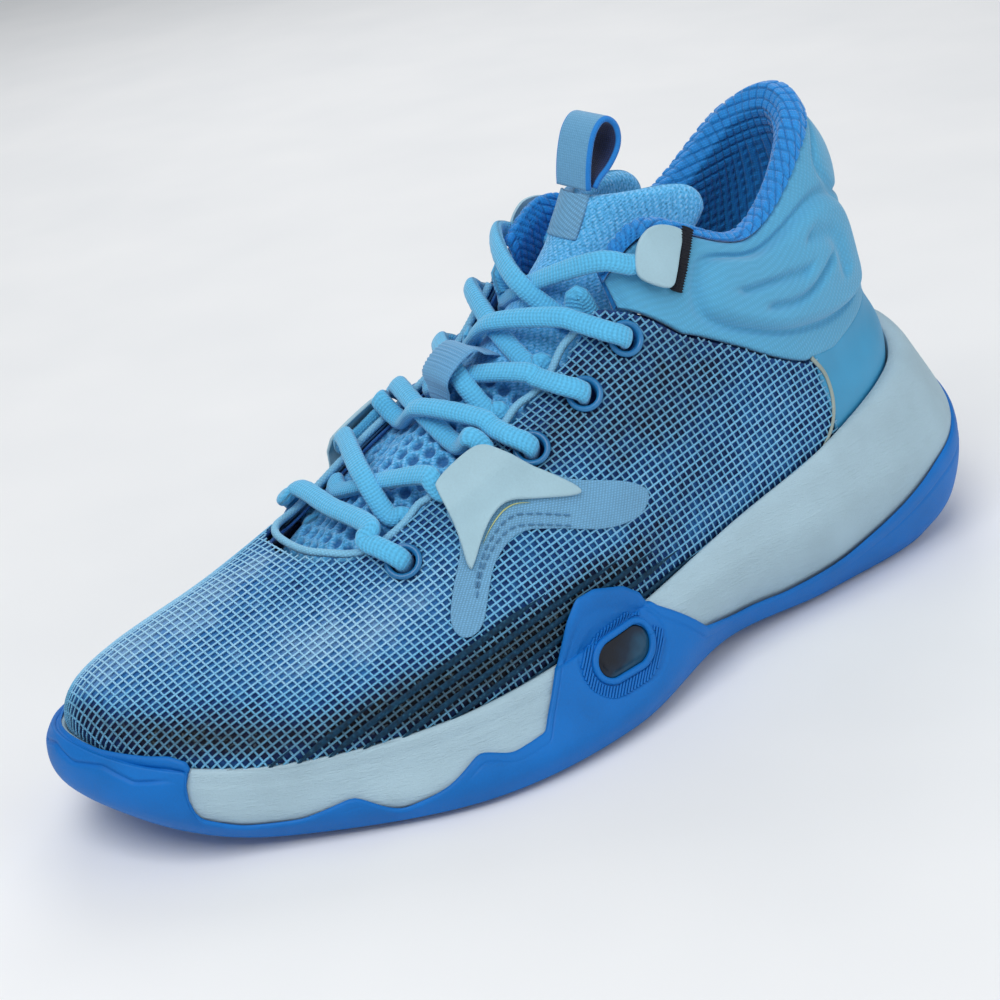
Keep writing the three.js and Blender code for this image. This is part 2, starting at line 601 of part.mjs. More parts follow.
class SkinCurve extends THREE.Curve {
  constructor(pointAt) {
    super();
    this.pointAt = pointAt;
  }

  getPoint(t, target = new THREE.Vector3()) {
    return target.copy(this.pointAt(t));
  }
}

function throatPiping() {
  const curve = new SkinCurve((t) => upper.at(lerp(-4.4, 4.4, t), 4.0, -1.7));
  const section = new THREE.Shape();
  section.absarc(0, 0, PIPING_RADIUS, 0, Math.PI * 2);
  return new THREE.ExtrudeGeometry(section, { steps: 32, extrudePath: curve, curveSegments: 3 });
}

// ---------- lace hardware ----------
function laceWing(side) {
  const path = [[3.02, 3.93, 5.4, 1.2], [3.16, 3.62, 5.5, 7], [3.34, 3.2, 4.6, 7.4], [3.5, 2.9, 1.6, 5],
    [3.62, 2.62, 0.9, 1]];
  return skinStrip(path.map(([s, l, o, w]) => [onSide(side, s), l, o, w]), { thickness: 1, steps: 10 });
}

function wingBase(side) {
  const path = [[3.12, 1.3], [3.15, 1.75], [3.3, 2.25], [3.55, 2.42],
    [3.82, 2.1], [4.08, 1.75], [4.32, 1.38]];
  const widths = [2.5, 5, 5, 4.5, 5, 5.2, 2.5];
  return skinStrip(path.map(([s, l], i) => [onSide(side, s), l, 0, widths[i]]),
    { thickness: 0.5, steps: 18, lift: FIT_GAP });
}

function topTab(side) {
  const path = [[4.84, 3.78, 4.9, 6.2], [4.95, 3.72, 5.2, 8], [5.1, 3.65, 3.4, 8], [5.2, 3.61, 0.9, 8],
    [5.26, 3.58, FIT_GAP, 8]];
  return skinStrip(path.map(([s, l, o, w]) => [onSide(side, s), l, o, w]), { thickness: 0.9, steps: 8 });
}

function tabBar(side) {
  const path = [[5.4, 3.93, 0, 1.9], [5.3, 3.61, 0, 1.9], [5.18, 3.3, 0, 1.9]];
  return skinStrip(path.map(([s, l, o, w]) => [onSide(side, s), l, o, w]),
    { thickness: 0.9, steps: 5, lift: FIT_GAP + 1.3 });
}

// ---------- tongue ----------
function tongueStation(t) {
  const i = Math.max(0, Math.min(TONGUE_STATIONS.length - 2, Math.floor(t)));
  const at = (k, c) => TONGUE_STATIONS[Math.max(0, Math.min(TONGUE_STATIONS.length - 1, k))][c];
  return [0, 1, 2, 3, 4, 5].map((c) => catmull(at(i - 1, c), at(i, c), at(i + 1, c), at(i + 2, c), t - i));
}

// A point of the tongue: t along its length, w across from -1 lateral to 1 medial, depth inwards.
function tonguePoint(t, w, depth = 0) {
  const [x, z, half, drop, slope, arc] = tongueStation(t);
  const angle = THREE.MathUtils.degToRad(arc) * w;
  const down = THREE.MathUtils.degToRad(slope);
  const width = half - depth;
  const fall = depth + (drop - depth * 0.4) * (1 - Math.cos(angle));
  return new THREE.Vector3(x - ORIGIN_X + Math.cos(down) * fall,
    -ORIGIN_Y + LOOP_CENTRE_Y / 2 + width * Math.sin(angle), z - Math.sin(down) * fall);
}

function tonguePad(t0, t1, steps, thickness) {
  const columns = 8;
  const sections = [];
  for (let i = 0; i <= steps; i += 1) {
    const t = lerp(t0, t1, i / steps);
    const section = [];
    for (let j = 0; j <= columns; j += 1) section.push(tonguePoint(t, lerp(-1, 1, j / columns), 0));
    for (let j = columns; j >= 0; j -= 1) section.push(tonguePoint(t, lerp(-1, 1, j / columns), thickness));
    sections.push(section);
  }
  return sectionSolid(sections);
}

const tongueTopStation = TONGUE_STATIONS.length - 1;

function stripAlong(points, width, thickness, centreY) {
  // A strip of webbing bent along a line in the XZ plane.
  const curve = new THREE.CatmullRomCurve3(points.map(([x, z]) => new THREE.Vector3(x - ORIGIN_X, 0, z)));
  const steps = points.length * 2;
  const sections = [];
  for (let i = 0; i <= steps; i += 1) {
    const p = curve.getPoint(i / steps);
    const ahead = curve.getTangent(i / steps);
    const side = new THREE.Vector3(-ahead.z, 0, ahead.x).multiplyScalar(thickness / 2);
    const corner = (y, sign) => p.clone().addScaledVector(side, sign).setY(centreY - ORIGIN_Y + y);
    const half = width / 2;
    sections.push([corner(-half, -1), corner(half, -1), corner(half, 1), corner(-half, 1)]);
  }
  return sectionSolid(sections);
}


function tonguePatch() {
  const sections = [];
  const rows = 4;
  for (let i = 0; i <= rows; i += 1) {
    const t = lerp(TONGUE_SPLIT + 0.12, tongueTopStation - 0.05, i / rows);
    const section = [];
    for (let j = 0; j <= 4; j += 1) section.push(tonguePoint(t, lerp(-0.2, 0.2, j / 4), -FIT_GAP));
    for (let j = 4; j >= 0; j -= 1) section.push(tonguePoint(t, lerp(-0.2, 0.2, j / 4), -FIT_GAP - 0.8));
    sections.push(section);
  }
  return sectionSolid(sections);
}

// ---------- lace ----------
const LACE_ROWS = [1, 2, 3, 4, 5, 6];
const LACE_CENTRE_LIFT = { medial: LACE_LIFT + 0.6, lateral: LACE_LIFT + LACE_THICKNESS + 1.1 };

const opposite = (side) => (side === 'lateral' ? 'medial' : 'lateral');
const sideSign = (side) => (side === 'lateral' ? -1 : 1);

// One place that the lace passes: its centre, and the direction that its flat side faces.
const onSkin = (side, s, level, offset) => ({
  p: upper.at(onSide(side, s), level, offset),
  up: upper.normal(onSide(side, s), level),
});
const onTongue = (t, w, lift) => ({
  p: tonguePoint(t, w, -lift),
  up: tonguePoint(t, w, -1).sub(tonguePoint(t, w, 0)).normalize(),
});

// Places along a U-turn through a hole, from above the skin to below it.
// It comes from the neighbouring place [station, level] and turns back under it.
function throughHole(side, s, level, above, below, from) {
  const centre = upper.at(onSide(side, s), level);
  const normal = upper.normal(onSide(side, s), level);
  const throat = upper.at(onSide(side, from[0]), from[1]).sub(centre);
  throat.addScaledVector(normal, -throat.dot(normal)).normalize();
  const turn = [[6.2, above + 0.1, 90], [2.6, above - 0.2, 70], [0.4, above - 1.7, 25], [0, 0, 0],
    [0.2, below + 2.1, -20], [1.9, below + 0.3, -65], [5, below - 0.1, -90]];
  return turn.map(([towardsThroat, offset, tilt]) => {
    const angle = THREE.MathUtils.degToRad(tilt);
    return {
      p: centre.clone().addScaledVector(throat, towardsThroat).addScaledVector(normal, offset),
      up: throat.clone().multiplyScalar(-Math.cos(angle)).addScaledVector(normal, Math.sin(angle)),
    };
  });
}

const LACE_ABOVE = 3.5;          // lace centre over an eyelet's flange
const LACE_BELOW = LINING_BOTTOM - 3.1;

function eyeletPass(side, row) {
  const [s, level] = EYELET_ROWS[row];
  const over = OVER_EDGE[row];
  return [
    onSkin(side, over, 4.16, LACE_LIFT + 1.2),
    onSkin(side, over + 0.04, 4.0, LACE_LIFT + 1.0),
    ...throughHole(side, s, level, LACE_ABOVE, LACE_BELOW, [over, 4.0]),
  ];
}

function underEdge(side, row) {
  const under = UNDER_EDGE[row];
  return [onSkin(side, under + 0.04, 3.8, LACE_BELOW - 1.1), onSkin(side, under, 4.24, LACE_BELOW + 1.5)];
}

function wingPass(side) {
  return WING_TURN.map(([s, level]) => onSkin(side, s, level, level > 4 ? LACE_LIFT + 1.5 : LACE_LIFT + 0.1));
}

// From one side's row to the other side's next row, over the tongue.
function crossing(from, row, lift) {
  const t0 = interpolate(TONGUE_BY_THROAT, UNDER_EDGE[row]);
  const t1 = interpolate(TONGUE_BY_THROAT, row < 5 ? OVER_EDGE[row + 1] : TAB_APPROACH[0][0]);
  const w = sideSign(from);
  const places = [onTongue(lerp(t0, t1, 0.15), 0.55 * w, LACE_LIFT + 1.8)];
  places.push(onTongue(lerp(t0, t1, 0.5), 0, lift));
  return places;
}

// The lace from its middle, at the bar across row 1, to its end inside the collar on one side.
function halfLace(start) {
  const places = [];
  let side = start;
  for (const row of LACE_ROWS) {
    if (row === 2) {
      places.push(...wingPass(side));
    } else if (row < 6) {
      places.push(...eyeletPass(side, row), ...underEdge(side, row));
    } else {
      const [s, level] = TAB_HOLE;
      const [first, second] = TAB_APPROACH;
      places.push(onSkin(side, ...first, 3.4), onSkin(side, ...second, 3.2),
        ...throughHole(side, s, level, 2.7, -COLLAR_FRONT_THICKNESS, second).slice(1, 4),
        onSkin(side, s, level, -COLLAR_FRONT_THICKNESS - 1.5),
        ...LACE_TAIL.map(([ts, tl, offset]) => onSkin(side, ts, tl, offset)));
    }
    if (row < 6) {
      places.push(...crossing(side, row, LACE_CENTRE_LIFT[start]));
    }
    side = opposite(side);
  }
  return places;
}

function lacePlaces() {
  const bar = [onTongue(interpolate(TONGUE_BY_THROAT, OVER_EDGE[1]) - 0.1, 0, LACE_LIFT + 1.4)];
  return [...halfLace('medial').reverse(), ...bar, ...halfLace('lateral')];
}

const CORD_SIDES = 6;

function flatCord(places, width, thickness, stepLength) {
  const curve = new THREE.CatmullRomCurve3(places.map((place) => place.p), false, 'centripetal');
  const spans = places.length - 1;
  const stops = [];
  for (let k = 0; k < spans; k += 1) {
    const cuts = Math.max(1, Math.round(places[k].p.distanceTo(places[k + 1].p) / stepLength));
    for (let i = 0; i < cuts; i += 1) stops.push([k, i / cuts]);
  }
  stops.push([spans - 1, 1]);
  const sections = [];
  const facing = places[0].up.clone();
  for (const [k, f] of stops) {
    const u = (k + f) / spans;
    const ahead = curve.getTangent(u);
    const next = places[k + 1].up.clone().multiplyScalar(places[k].up.dot(places[k + 1].up) < 0 ? -1 : 1);
    const wanted = places[k].up.clone().lerp(next, f);
    if (wanted.dot(facing) < 0) wanted.negate();
    wanted.addScaledVector(ahead, -wanted.dot(ahead)).normalize();
    facing.copy(wanted);
    const side = new THREE.Vector3().crossVectors(ahead, wanted);
    const centre = curve.getPoint(u);
    const section = [];
    for (let j = 0; j < CORD_SIDES; j += 1) {
      const angle = ((j + 0.5) * 2 * Math.PI) / CORD_SIDES;
      section.push(centre.clone().addScaledVector(side, (Math.cos(angle) * width) / 2)
        .addScaledVector(wanted, (Math.sin(angle) * thickness) / 2));
    }
    sections.push(section);
  }
  return sectionSolid(sections);
}

function laceEnd(places, gap, length) {
  const last = places[places.length - 1];
  const ahead = last.p.clone().sub(places[places.length - 2].p).normalize();
  const from = last.p.clone().addScaledVector(ahead, gap);
  return [{ p: from, up: last.up }, { p: from.clone().addScaledVector(ahead, length), up: last.up }];
}

function laceKeeper() {
  const path = [[2.7, FIT_GAP], [2.8, 5.2], [2.95, 10.6], [3.27, 10.6], [3.42, 5.2], [3.54, FIT_GAP]];
  const halfArc = 0.16;
  const sections = path.map(([t, lift]) => [
    ...[-1, 0, 1].map((w) => tonguePoint(t, w * halfArc, -lift)),
    ...[1, 0, -1].map((w) => tonguePoint(t, w * halfArc, -lift - 0.9)),
  ]);
  return sectionSolid(sections);
}

// ---------- materials ----------
const COLOURS = {
  royal_rubber: [0x0b5fc0, 0.55, 0],
  foam_pale: [0xa9c3d2, 0.6, 0],
  lens_dark: [0x0a1a26, 0.15, 0],
  plate_black: [0x1b1f24, 0.4, 0],
  board: [0xd8d4c8, 0.9, 0],
  insole_blue: [0x1c5fb4, 0.9, 0],
  net_blue: [0x5aa4d6, 0.75, 0],
  navy_knit: [0x0d2c66, 0.9, 0],
  panel_blue: [0x3f8fc8, 0.55, 0],
  collar_blue: [0x62abd0, 0.75, 0],
  lining_royal: [0x0c55b5, 0.85, 0],
  piping_blue: [0x68b4e2, 0.7, 0],
  eyelet_blue: [0x3d8cc6, 0.4, 0],
  wing_white: [0xb4cfda, 0.5, 0],
  patch_blue: [0x5593c6, 0.7, 0],
  bar_black: [0x0a0e16, 0.85, 0],
  knit_blue: [0x4d94cb, 0.9, 0],
  lace_blue: [0x55ade4, 0.85, 0],
  trim_beige: [0xb8b49a, 0.6, 0],
  aglet_clear: [0x9cc8e6, 0.3, 0],
};

const shoe = new THREE.Group();
shoe.name = 'basketball_high_top';

function piece(name, geometry, colour) {
  const [color, roughness, metalness] = COLOURS[colour];
  const mesh = new THREE.Mesh(geometry, new THREE.MeshStandardMaterial({ color, roughness, metalness }));
  mesh.name = name;
  shoe.add(mesh);
  return mesh;
}

const treads = [BALL_PAD, HEEL_PAD];
const cutters = [windowPlug(FIT_GAP, -1.2, 4.1), ...treads.flatMap(padGrooves)];
piece('outsole', cut(join(outsoleGeometry(), treads.map(treadPad)), cutters), 'royal_rubber');
piece('wing_window', windowPlug(0, 0.15, LENS_THICKNESS), 'lens_dark');
piece('midsole', midsoleGeometry(), 'foam_pale');

const shankTop = -(STROBEL_THICKNESS + 2 * FIT_GAP);
piece('shank_plate', footPlate(9, shankTop, shankTop - SHANK_THICKNESS, -35, 85), 'plate_black');
piece('strobel_board', footPlate(0.4, -FIT_GAP, -FIT_GAP - STROBEL_THICKNESS), 'board');
piece('sockliner', footPlate(5, SOCKLINER_THICKNESS, 0.3), 'insole_blue');

piece('mesh_upper', meshUpper, 'net_blue');
piece('bootie_lining', bootieLining, 'navy_knit');
piece('toe_puff', toePuff, 'board');
piece('heel_counter', heelCounter, 'board');
piece('heel_panel', heelPanel, 'panel_blue');
piece('collar_pad', collarPad, 'collar_blue');
piece('ankle_foam', ankleFoam, 'board');
piece('collar_lining', cut(collarLiningGeometry(), tabHoles), 'lining_royal');
piece('throat_piping', throatPiping(), 'piping_blue');
for (const side of ['lateral', 'medial']) {
  piece(`eyestay_${side}`, eyestay(side), 'patch_blue');
  piece(`panel_edge_trim_${side}`, edgeTrim(side), 'trim_beige');
  piece(`lace_wing_${side}`, laceWing(side), 'wing_white');
  piece(`wing_base_${side}`, wingBase(side), 'patch_blue');
  piece(`top_tab_${side}`, topTab(side), 'wing_white');
  piece(`tab_bar_${side}`, tabBar(side), 'bar_black');
}
for (const { name, s, level } of eyelets) piece(name, placeOnSkin(eyeletGeometry(), s, level), 'eyelet_blue');
piece('tongue_pad', tonguePad(0, TONGUE_SPLIT, 14, TONGUE_THICKNESS), 'knit_blue');
piece('tongue_top', tonguePad(TONGUE_SPLIT + 0.1, tongueTopStation, 6, TONGUE_TOP_THICKNESS), 'knit_blue');
piece('tongue_patch', tonguePatch(), 'patch_blue');
piece('pull_loop', stripAlong(LOOP_PATH, LOOP_WIDTH, LOOP_THICKNESS, LOOP_CENTRE_Y), 'panel_blue');

const lace = lacePlaces();
piece('lace', flatCord(lace, LACE_WIDTH, LACE_THICKNESS, 5), 'lace_blue');
const aglet = (places) => flatCord(
  laceEnd(places, FIT_GAP, AGLET_LENGTH), AGLET_DIAMETER, AGLET_DIAMETER, AGLET_LENGTH);
piece('aglet_medial', aglet(lace), 'aglet_clear');
piece('aglet_lateral', aglet([...lace].reverse()), 'aglet_clear');
piece('lace_keeper', laceKeeper(), 'patch_blue');

export default shoe;
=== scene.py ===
"""The looks of the basketball high top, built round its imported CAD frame.

Lengths are millimetres until a mesh is made, and metres in Blender. Places on the shoe are given as a station
round it (0 toe tip, 8 back of heel, 16 the toe tip again; lateral side first) and a level up its side.
"""

import math

import bmesh
import bpy
import numpy as np
from mathutils import Matrix, Vector
from mathutils.geometry import delaunay_2d_cdt


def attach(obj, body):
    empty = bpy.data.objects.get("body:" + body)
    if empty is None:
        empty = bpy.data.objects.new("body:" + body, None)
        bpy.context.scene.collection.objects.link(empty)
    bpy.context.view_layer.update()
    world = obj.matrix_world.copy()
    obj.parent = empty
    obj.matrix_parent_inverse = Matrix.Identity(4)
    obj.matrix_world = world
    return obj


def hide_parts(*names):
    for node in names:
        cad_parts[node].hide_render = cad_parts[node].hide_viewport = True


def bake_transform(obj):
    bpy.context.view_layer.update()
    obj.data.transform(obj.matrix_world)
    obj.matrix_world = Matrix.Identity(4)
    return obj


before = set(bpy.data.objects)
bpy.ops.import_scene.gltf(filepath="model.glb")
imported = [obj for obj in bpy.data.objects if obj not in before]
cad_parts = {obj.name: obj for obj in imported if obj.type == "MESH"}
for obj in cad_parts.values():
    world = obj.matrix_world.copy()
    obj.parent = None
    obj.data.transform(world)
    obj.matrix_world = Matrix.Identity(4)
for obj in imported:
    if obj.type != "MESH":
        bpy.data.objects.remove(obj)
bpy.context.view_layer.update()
MM = 0.001
ORIGIN = np.array([6.95, -3.17, 0.0])  # the last's own X and Y at the middle of the shoe
TOE_LIMIT = 6.12  # station where the net ends and the heel panel starts
TURN = 16

# ---------- the last, as in the CAD source ----------
CENTRE_LINE = np.array([[-150, 12], [-100, 7], [-50, 2], [0, -1], [60, -1], [150, 0]], float)
UPPER_LEVELS = [
    [[-132, 0, 0, 24], [-121, 20, 22, 20], [-97, 36, 38, 16.5], [-55, 43, 42, 15], [-5, 39, 34, 17],
     [45, 35, 31, 21], [88, 34, 32, 25], [121, 24, 24, 27], [134, 0, 0, 28]],
    [[-143, 0, 0, 33], [-130, 25, 27, 28], [-103, 43, 44, 24.5], [-58, 52, 49, 24], [-5, 48, 40, 28.5],
     [45, 43, 37, 41], [86, 42, 39, 52], [126, 28, 28, 62], [140, 0, 0, 68]],
    [[-141, 0, 0, 44], [-128, 24, 25, 38], [-101, 41, 41, 35], [-57, 51, 47, 40], [-4, 48, 38, 48],
     [45, 43, 36, 62], [84, 40, 37, 70], [122, 25, 25, 80], [134, 0, 0, 85]],
    [[-129, 0, 0, 52], [-117, 19, 19, 48], [-92, 34, 31, 45], [-51, 43, 37, 54], [-2, 44, 35, 68],
     [44, 40, 34, 84], [82, 38, 35, 88], [117, 24, 24, 98], [129, 0, 0, 102]],
    [[-103, 0, 0, 60], [-95, 14, 13, 58], [-75, 28, 24, 57], [-42, 35, 29, 69], [0, 36, 31, 87],
     [42, 34, 31, 107], [80, 34, 32, 104], [114, 22, 22, 120], [126, 0, 0, 127]],
    [[-70, 0, 0, 68], [-68, 14, 12, 68.5], [-57, 23, 20, 69], [-33, 24, 22, 81], [3, 23, 23, 99],
     [38, 26, 25, 130], [76, 28, 27, 119], [108, 19, 19, 141], [118, 0, 0, 149]],
]
SOLE_LEVELS = [
    [[-140, 0, 0, 13], [-127, 26, 25, 8], [-103, 41, 42, 3], [-57, 60, 50, 1.6], [-8, 58, 38, 2.4],
     [39, 42, 34, 5], [84, 38, 37, 1.6], [132, 32, 32, 2], [150, 0, 0, 6]],
    [[-148, 0, 0, 22], [-135, 28, 28, 17], [-108, 43, 44, 10], [-58, 62, 53, 9], [-8, 61, 42, 10],
     [40, 46, 38, 13], [88, 43, 42, 10], [141, 36, 36, 13], [160, 0, 0, 18]],
    [[-149, 0, 0, 30], [-136, 27, 28, 25], [-108, 43, 44, 18], [-58, 57, 53, 17], [-6, 56, 43, 20],
     [44, 50, 42, 25], [90, 49, 46, 28], [143, 37, 37, 34], [162, 0, 0, 40]],
    [[-146, 0, 0, 36], [-133, 26, 27, 30.5], [-104, 43.5, 45, 26], [-58, 54, 51, 25.5],
     [-5, 50.5, 42, 30.5], [45, 46, 40, 42], [88, 45, 42, 52], [132, 32, 32, 61], [148, 0, 0, 68]],
]
LATERAL_WAVE = [[0, 3.25], [0.45, 3.25], [1.1, 3.5], [1.29, 3.35], [1.32, 2.3], [1.37, 1.15], [1.7, 0.85],
                [2.1, 0.95], [2.39, 1.5], [2.56, 0.6], [2.8, 1.1], [3.02, 1.8], [3.18, 1.45], [3.4, 1.6],
                [3.5, 2.3], [3.62, 3.2], [3.7, 3.65], [3.78, 3.88], [3.9, 3.85], [4.1, 3.6], [4.22, 3.3],
                [4.3, 2.8], [4.48, 2.2],
                [4.65, 1.6], [5, 1.1], [5.45, 1], [6, 1.3], [6.4, 1.63], [6.71, 1.9], [7.23, 2.1], [8, 2.15]]
MEDIAL_WAVE = [[0, 3.25], [0.45, 3.25], [1.1, 3.5], [1.29, 3.35], [1.32, 2.3], [1.37, 1.15], [1.7, 0.85],
               [2.1, 0.95], [2.39, 1.5], [2.56, 0.6], [2.8, 1.1], [3.02, 1.8], [3.25, 1.4], [3.5, 1.9],
               [3.75, 2.6], [4.0, 2.6], [4.3, 1.8], [4.65, 1.2], [5, 1.05], [5.45, 1], [6, 1.3], [6.4, 1.63],
               [6.71, 1.9], [7.23, 2.1], [8, 2.15]]
COLLAR_SEAM = [[4.5, 3.85], [5, 2.71], [5.47, 2.19], [6.05, 1.42], [6.38, 1.14], [6.74, 1.1], [8, 1.1]]
TONGUE_STATIONS = np.array([
    [-78, 53, 15, 5, 75, 55], [-58, 66, 19.5, 13, 68, 66], [-35, 80, 20.6, 18, 62, 70],
    [-12, 93.5, 20.4, 22, 60, 76], [10, 107.5, 20.8, 23, 50, 82], [26, 123, 18.5, 30, 28, 86],
    [31.5, 131, 18, 34, 14, 88], [36, 138.5, 17.5, 36, 4, 88]], float)
EYELET_ROWS = {1: (2.6, 3.1), 3: (3.7, 3.18), 4: (4.17, 3.18), 5: (4.58, 3.2)}
TAB_HOLE = (5.02, 3.62)
LACE_TAIL = [(5.08, 3.5, -8), (5.24, 3.2, -9.6), (5.42, 2.8, -10.6), (5.6, 2.4, -11.5)]
LOOP_CENTRE_Y = -1.5
LOOP_PATH = [[36.6, 140.2], [37, 144], [38.4, 150], [41, 156.4], [45.3, 159.6], [49.3, 156.6],
             [49.6, 150.6], [45.4, 145.4], [40.6, 142.4], [38.9, 140.2]]


# ---------- numbers ----------
def table(rows, x):
    rows = np.asarray(rows, float)
    return np.interp(x, rows[:, 0], rows[:, 1])


def smooth(a, b, x):
    t = np.clip((np.asarray(x, float) - a) / (b - a), 0, 1)
    return t * t * (3 - 2 * t)


def catmull_weights(t):
    t2, t3 = t * t, t * t * t
    return 0.5 * np.stack([-t + 2 * t2 - t3, 2 - 5 * t2 + 3 * t3, t + 4 * t2 - 3 * t3, t3 - t2])


def round_rim(share):
    """The quarter circle that rounds an edge over: 0 at the edge, 1 from one edge radius inwards."""
    return np.sqrt(np.clip(1 - (1 - np.clip(share, 0, 1)) ** 2, 0, 1))


def bell(x):
    return np.exp(-x ** 2)


def middle_y(x):
    """The Y of the shoe's bent middle line at an X of the frame."""
    return np.interp(x + ORIGIN[0], CENTRE_LINE[:, 0], CENTRE_LINE[:, 1]) - ORIGIN[1]


def unit(v):
    return v / np.maximum(np.linalg.norm(v, axis=-1, keepdims=True), 1e-9)


def fold(s):
    turn = np.mod(s, TURN)
    return np.where(turn > TURN / 2, TURN - turn, turn)


def on_side(side, s):
    return s if side == "lateral" else TURN - s


class Skin:
    """A closed curved surface read by station round the shoe and level up its side."""

    def __init__(self, levels, first):
        rings = []
        for level in levels:
            ring = []
            for s in range(TURN):
                x, lateral, medial, z = level[int(fold(s))]
                side = medial if s > TURN / 2 else -lateral
                ring.append([x, np.interp(x, CENTRE_LINE[:, 0], CENTRE_LINE[:, 1]) + side, z])
            rings.append(ring)
        r = np.array(rings, float) - ORIGIN
        self.first, self.last = first, len(levels) - 1
        self.net = np.concatenate([[2 * r[0] - r[1]], r, [2 * r[-1] - r[-2]]])

    def point(self, s, level):
        s, level = np.broadcast_arrays(np.asarray(s, float), np.asarray(level, float))
        i = np.floor(s).astype(int)
        ws = catmull_weights(s - i)
        h = level - self.first
        j = np.clip(np.floor(h).astype(int), 0, self.last - 1)
        wl = catmull_weights(h - j)
        total = 0.0
        for a in range(4):
            for b in range(4):
                total = total + (wl[a] * ws[b])[..., None] * self.net[j + a, (i + b - 1) % TURN]
        return total

    def normal(self, s, level):
        e = 0.02
        along = self.point(s + e, level) - self.point(s - e, level)
        up = self.point(s, level + e) - self.point(s, level - e)
        return unit(np.cross(along, up))

    def at(self, s, level, offset=0.0):
        s, level = np.asarray(s, float), np.asarray(level, float)
        return self.point(s, level) + self.normal(s, level) * np.asarray(offset, float)[..., None]


upper = Skin(UPPER_LEVELS, -1)
sole = Skin(SOLE_LEVELS, 0)


def collar_seam(s):
    return table(COLLAR_SEAM, fold(s))


def collar_thickness(s):
    return 4.4 + (9.5 - 4.4) * smooth(4.62, 6.6, fold(s))


def quarter_top(s):
    return np.minimum(3.9, collar_seam(s) - 0.03)


def tongue_point(t, w, depth=0.0):
    t, w, depth = np.broadcast_arrays(*(np.asarray(v, float) for v in (t, w, depth)))
    last = len(TONGUE_STATIONS) - 1
    i = np.clip(np.floor(t).astype(int), 0, last - 1)
    wt = catmull_weights(t - i)
    x, z, half, drop, slope, arc = np.moveaxis(
        sum(wt[k][..., None] * TONGUE_STATIONS[np.clip(i + k - 1, 0, last)] for k in range(4)), -1, 0)
    angle, down = np.radians(arc) * w, np.radians(slope)
    fall = depth + (drop - depth * 0.4) * (1 - np.cos(angle))
    return np.stack([x - ORIGIN[0] + np.cos(down) * fall,
                     -ORIGIN[1] + LOOP_CENTRE_Y / 2 + (half - depth) * np.sin(angle),
                     z - np.sin(down) * fall], -1)


def tongue_normal(t, w):
    e = 0.01
    n = unit(np.cross(tongue_point(t + e, w) - tongue_point(t - e, w),
                      tongue_point(t, w + e) - tongue_point(t, w - e)))
    out = tongue_point(t, w, -1.0) - tongue_point(t, w, 0.0)
    return n * np.sign((n * out).sum(-1, keepdims=True))


# ---------- meshes ----------
class Soup:
    """Points, faces and one vector of cloth coordinates a point, gathered before they become a mesh."""

    def __init__(self):
        self.points, self.cloth, self.faces, self.count = [], [], {}, 0

    def add(self, points, faces, cloth=None):
        points = np.asarray(points, float).reshape(-1, 3)
        self.points.append(points)
        self.cloth.append(np.zeros_like(points) if cloth is None else np.asarray(cloth, float).reshape(-1, 3))
        for f in faces:
            f = np.asarray(f, int)
            if len(f):
                self.faces.setdefault(f.shape[1], []).append(f + self.count)
        self.count += len(points)


def piece(name, soup, material, body="shoe", replaces=(), flat=False):
    points = np.concatenate(soup.points)
    cloth = np.concatenate(soup.cloth)
    groups = [np.concatenate(f) for f in soup.faces.values()]
    used = np.unique(np.concatenate([g.ravel() for g in groups]))
    renumber = np.zeros(len(points), int)
    renumber[used] = np.arange(len(used))
    points, cloth, groups = points[used], cloth[used], [renumber[g] for g in groups]
    volume = 0.0
    for g in groups:
        for k in range(1, g.shape[1] - 1):
            a, b, c = points[g[:, 0]], points[g[:, k]], points[g[:, k + 1]]
            volume += (a * np.cross(b, c)).sum()
    if volume < 0:
        groups = [g[:, ::-1] for g in groups]
    mesh = bpy.data.meshes.new(name)
    mesh.vertices.add(len(points))
    mesh.vertices.foreach_set("co", (points * MM).astype(np.float32).ravel())
    loops = np.concatenate([g.ravel() for g in groups]).astype(np.int32)
    totals = np.concatenate([np.full(len(g), g.shape[1]) for g in groups]).astype(np.int32)
    starts = np.concatenate([[0], np.cumsum(totals)[:-1]]).astype(np.int32)
    mesh.loops.add(len(loops))
    mesh.loops.foreach_set("vertex_index", loops)
    mesh.polygons.add(len(totals))
    mesh.polygons.foreach_set("loop_start", starts)
    mesh.polygons.foreach_set("loop_total", totals)
    mesh.polygons.foreach_set("use_smooth", np.full(len(totals), not flat))
    mesh.attributes.new("cloth", "FLOAT_VECTOR", "POINT").data.foreach_set(
        "vector", cloth.astype(np.float32).ravel())
    mesh.update(calc_edges=True)
    mesh.validate()
    mesh.materials.append(material)
    made = bpy.data.objects.new(name, mesh)
    bpy.context.scene.collection.objects.link(made)
    if body:
        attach(made, body)
    if replaces:
        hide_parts(*replaces)
    return made


def quads(rows, columns, closed=False):
    r = np.arange(rows if closed else rows - 1)
    i, j = np.meshgrid(r, np.arange(columns - 1), indexing="ij")
    n = (i + 1) % rows
    corners = [i * columns + j, n * columns + j, n * columns + j + 1, i * columns + j + 1]
    return np.stack(corners, -1).reshape(-1, 4)


def shell(soup, outer, inner, closed=False, keep=None, cloth=None):
    """A closed skin between two grids. keep says which quads stay; every open edge gets a wall."""
    rows, columns = outer.shape[:2]
    face = quads(rows, columns, closed)
    if keep is not None:
        face = face[keep.reshape(-1)]
    seal(soup, outer.reshape(-1, 3), inner.reshape(-1, 3), face, cloth)


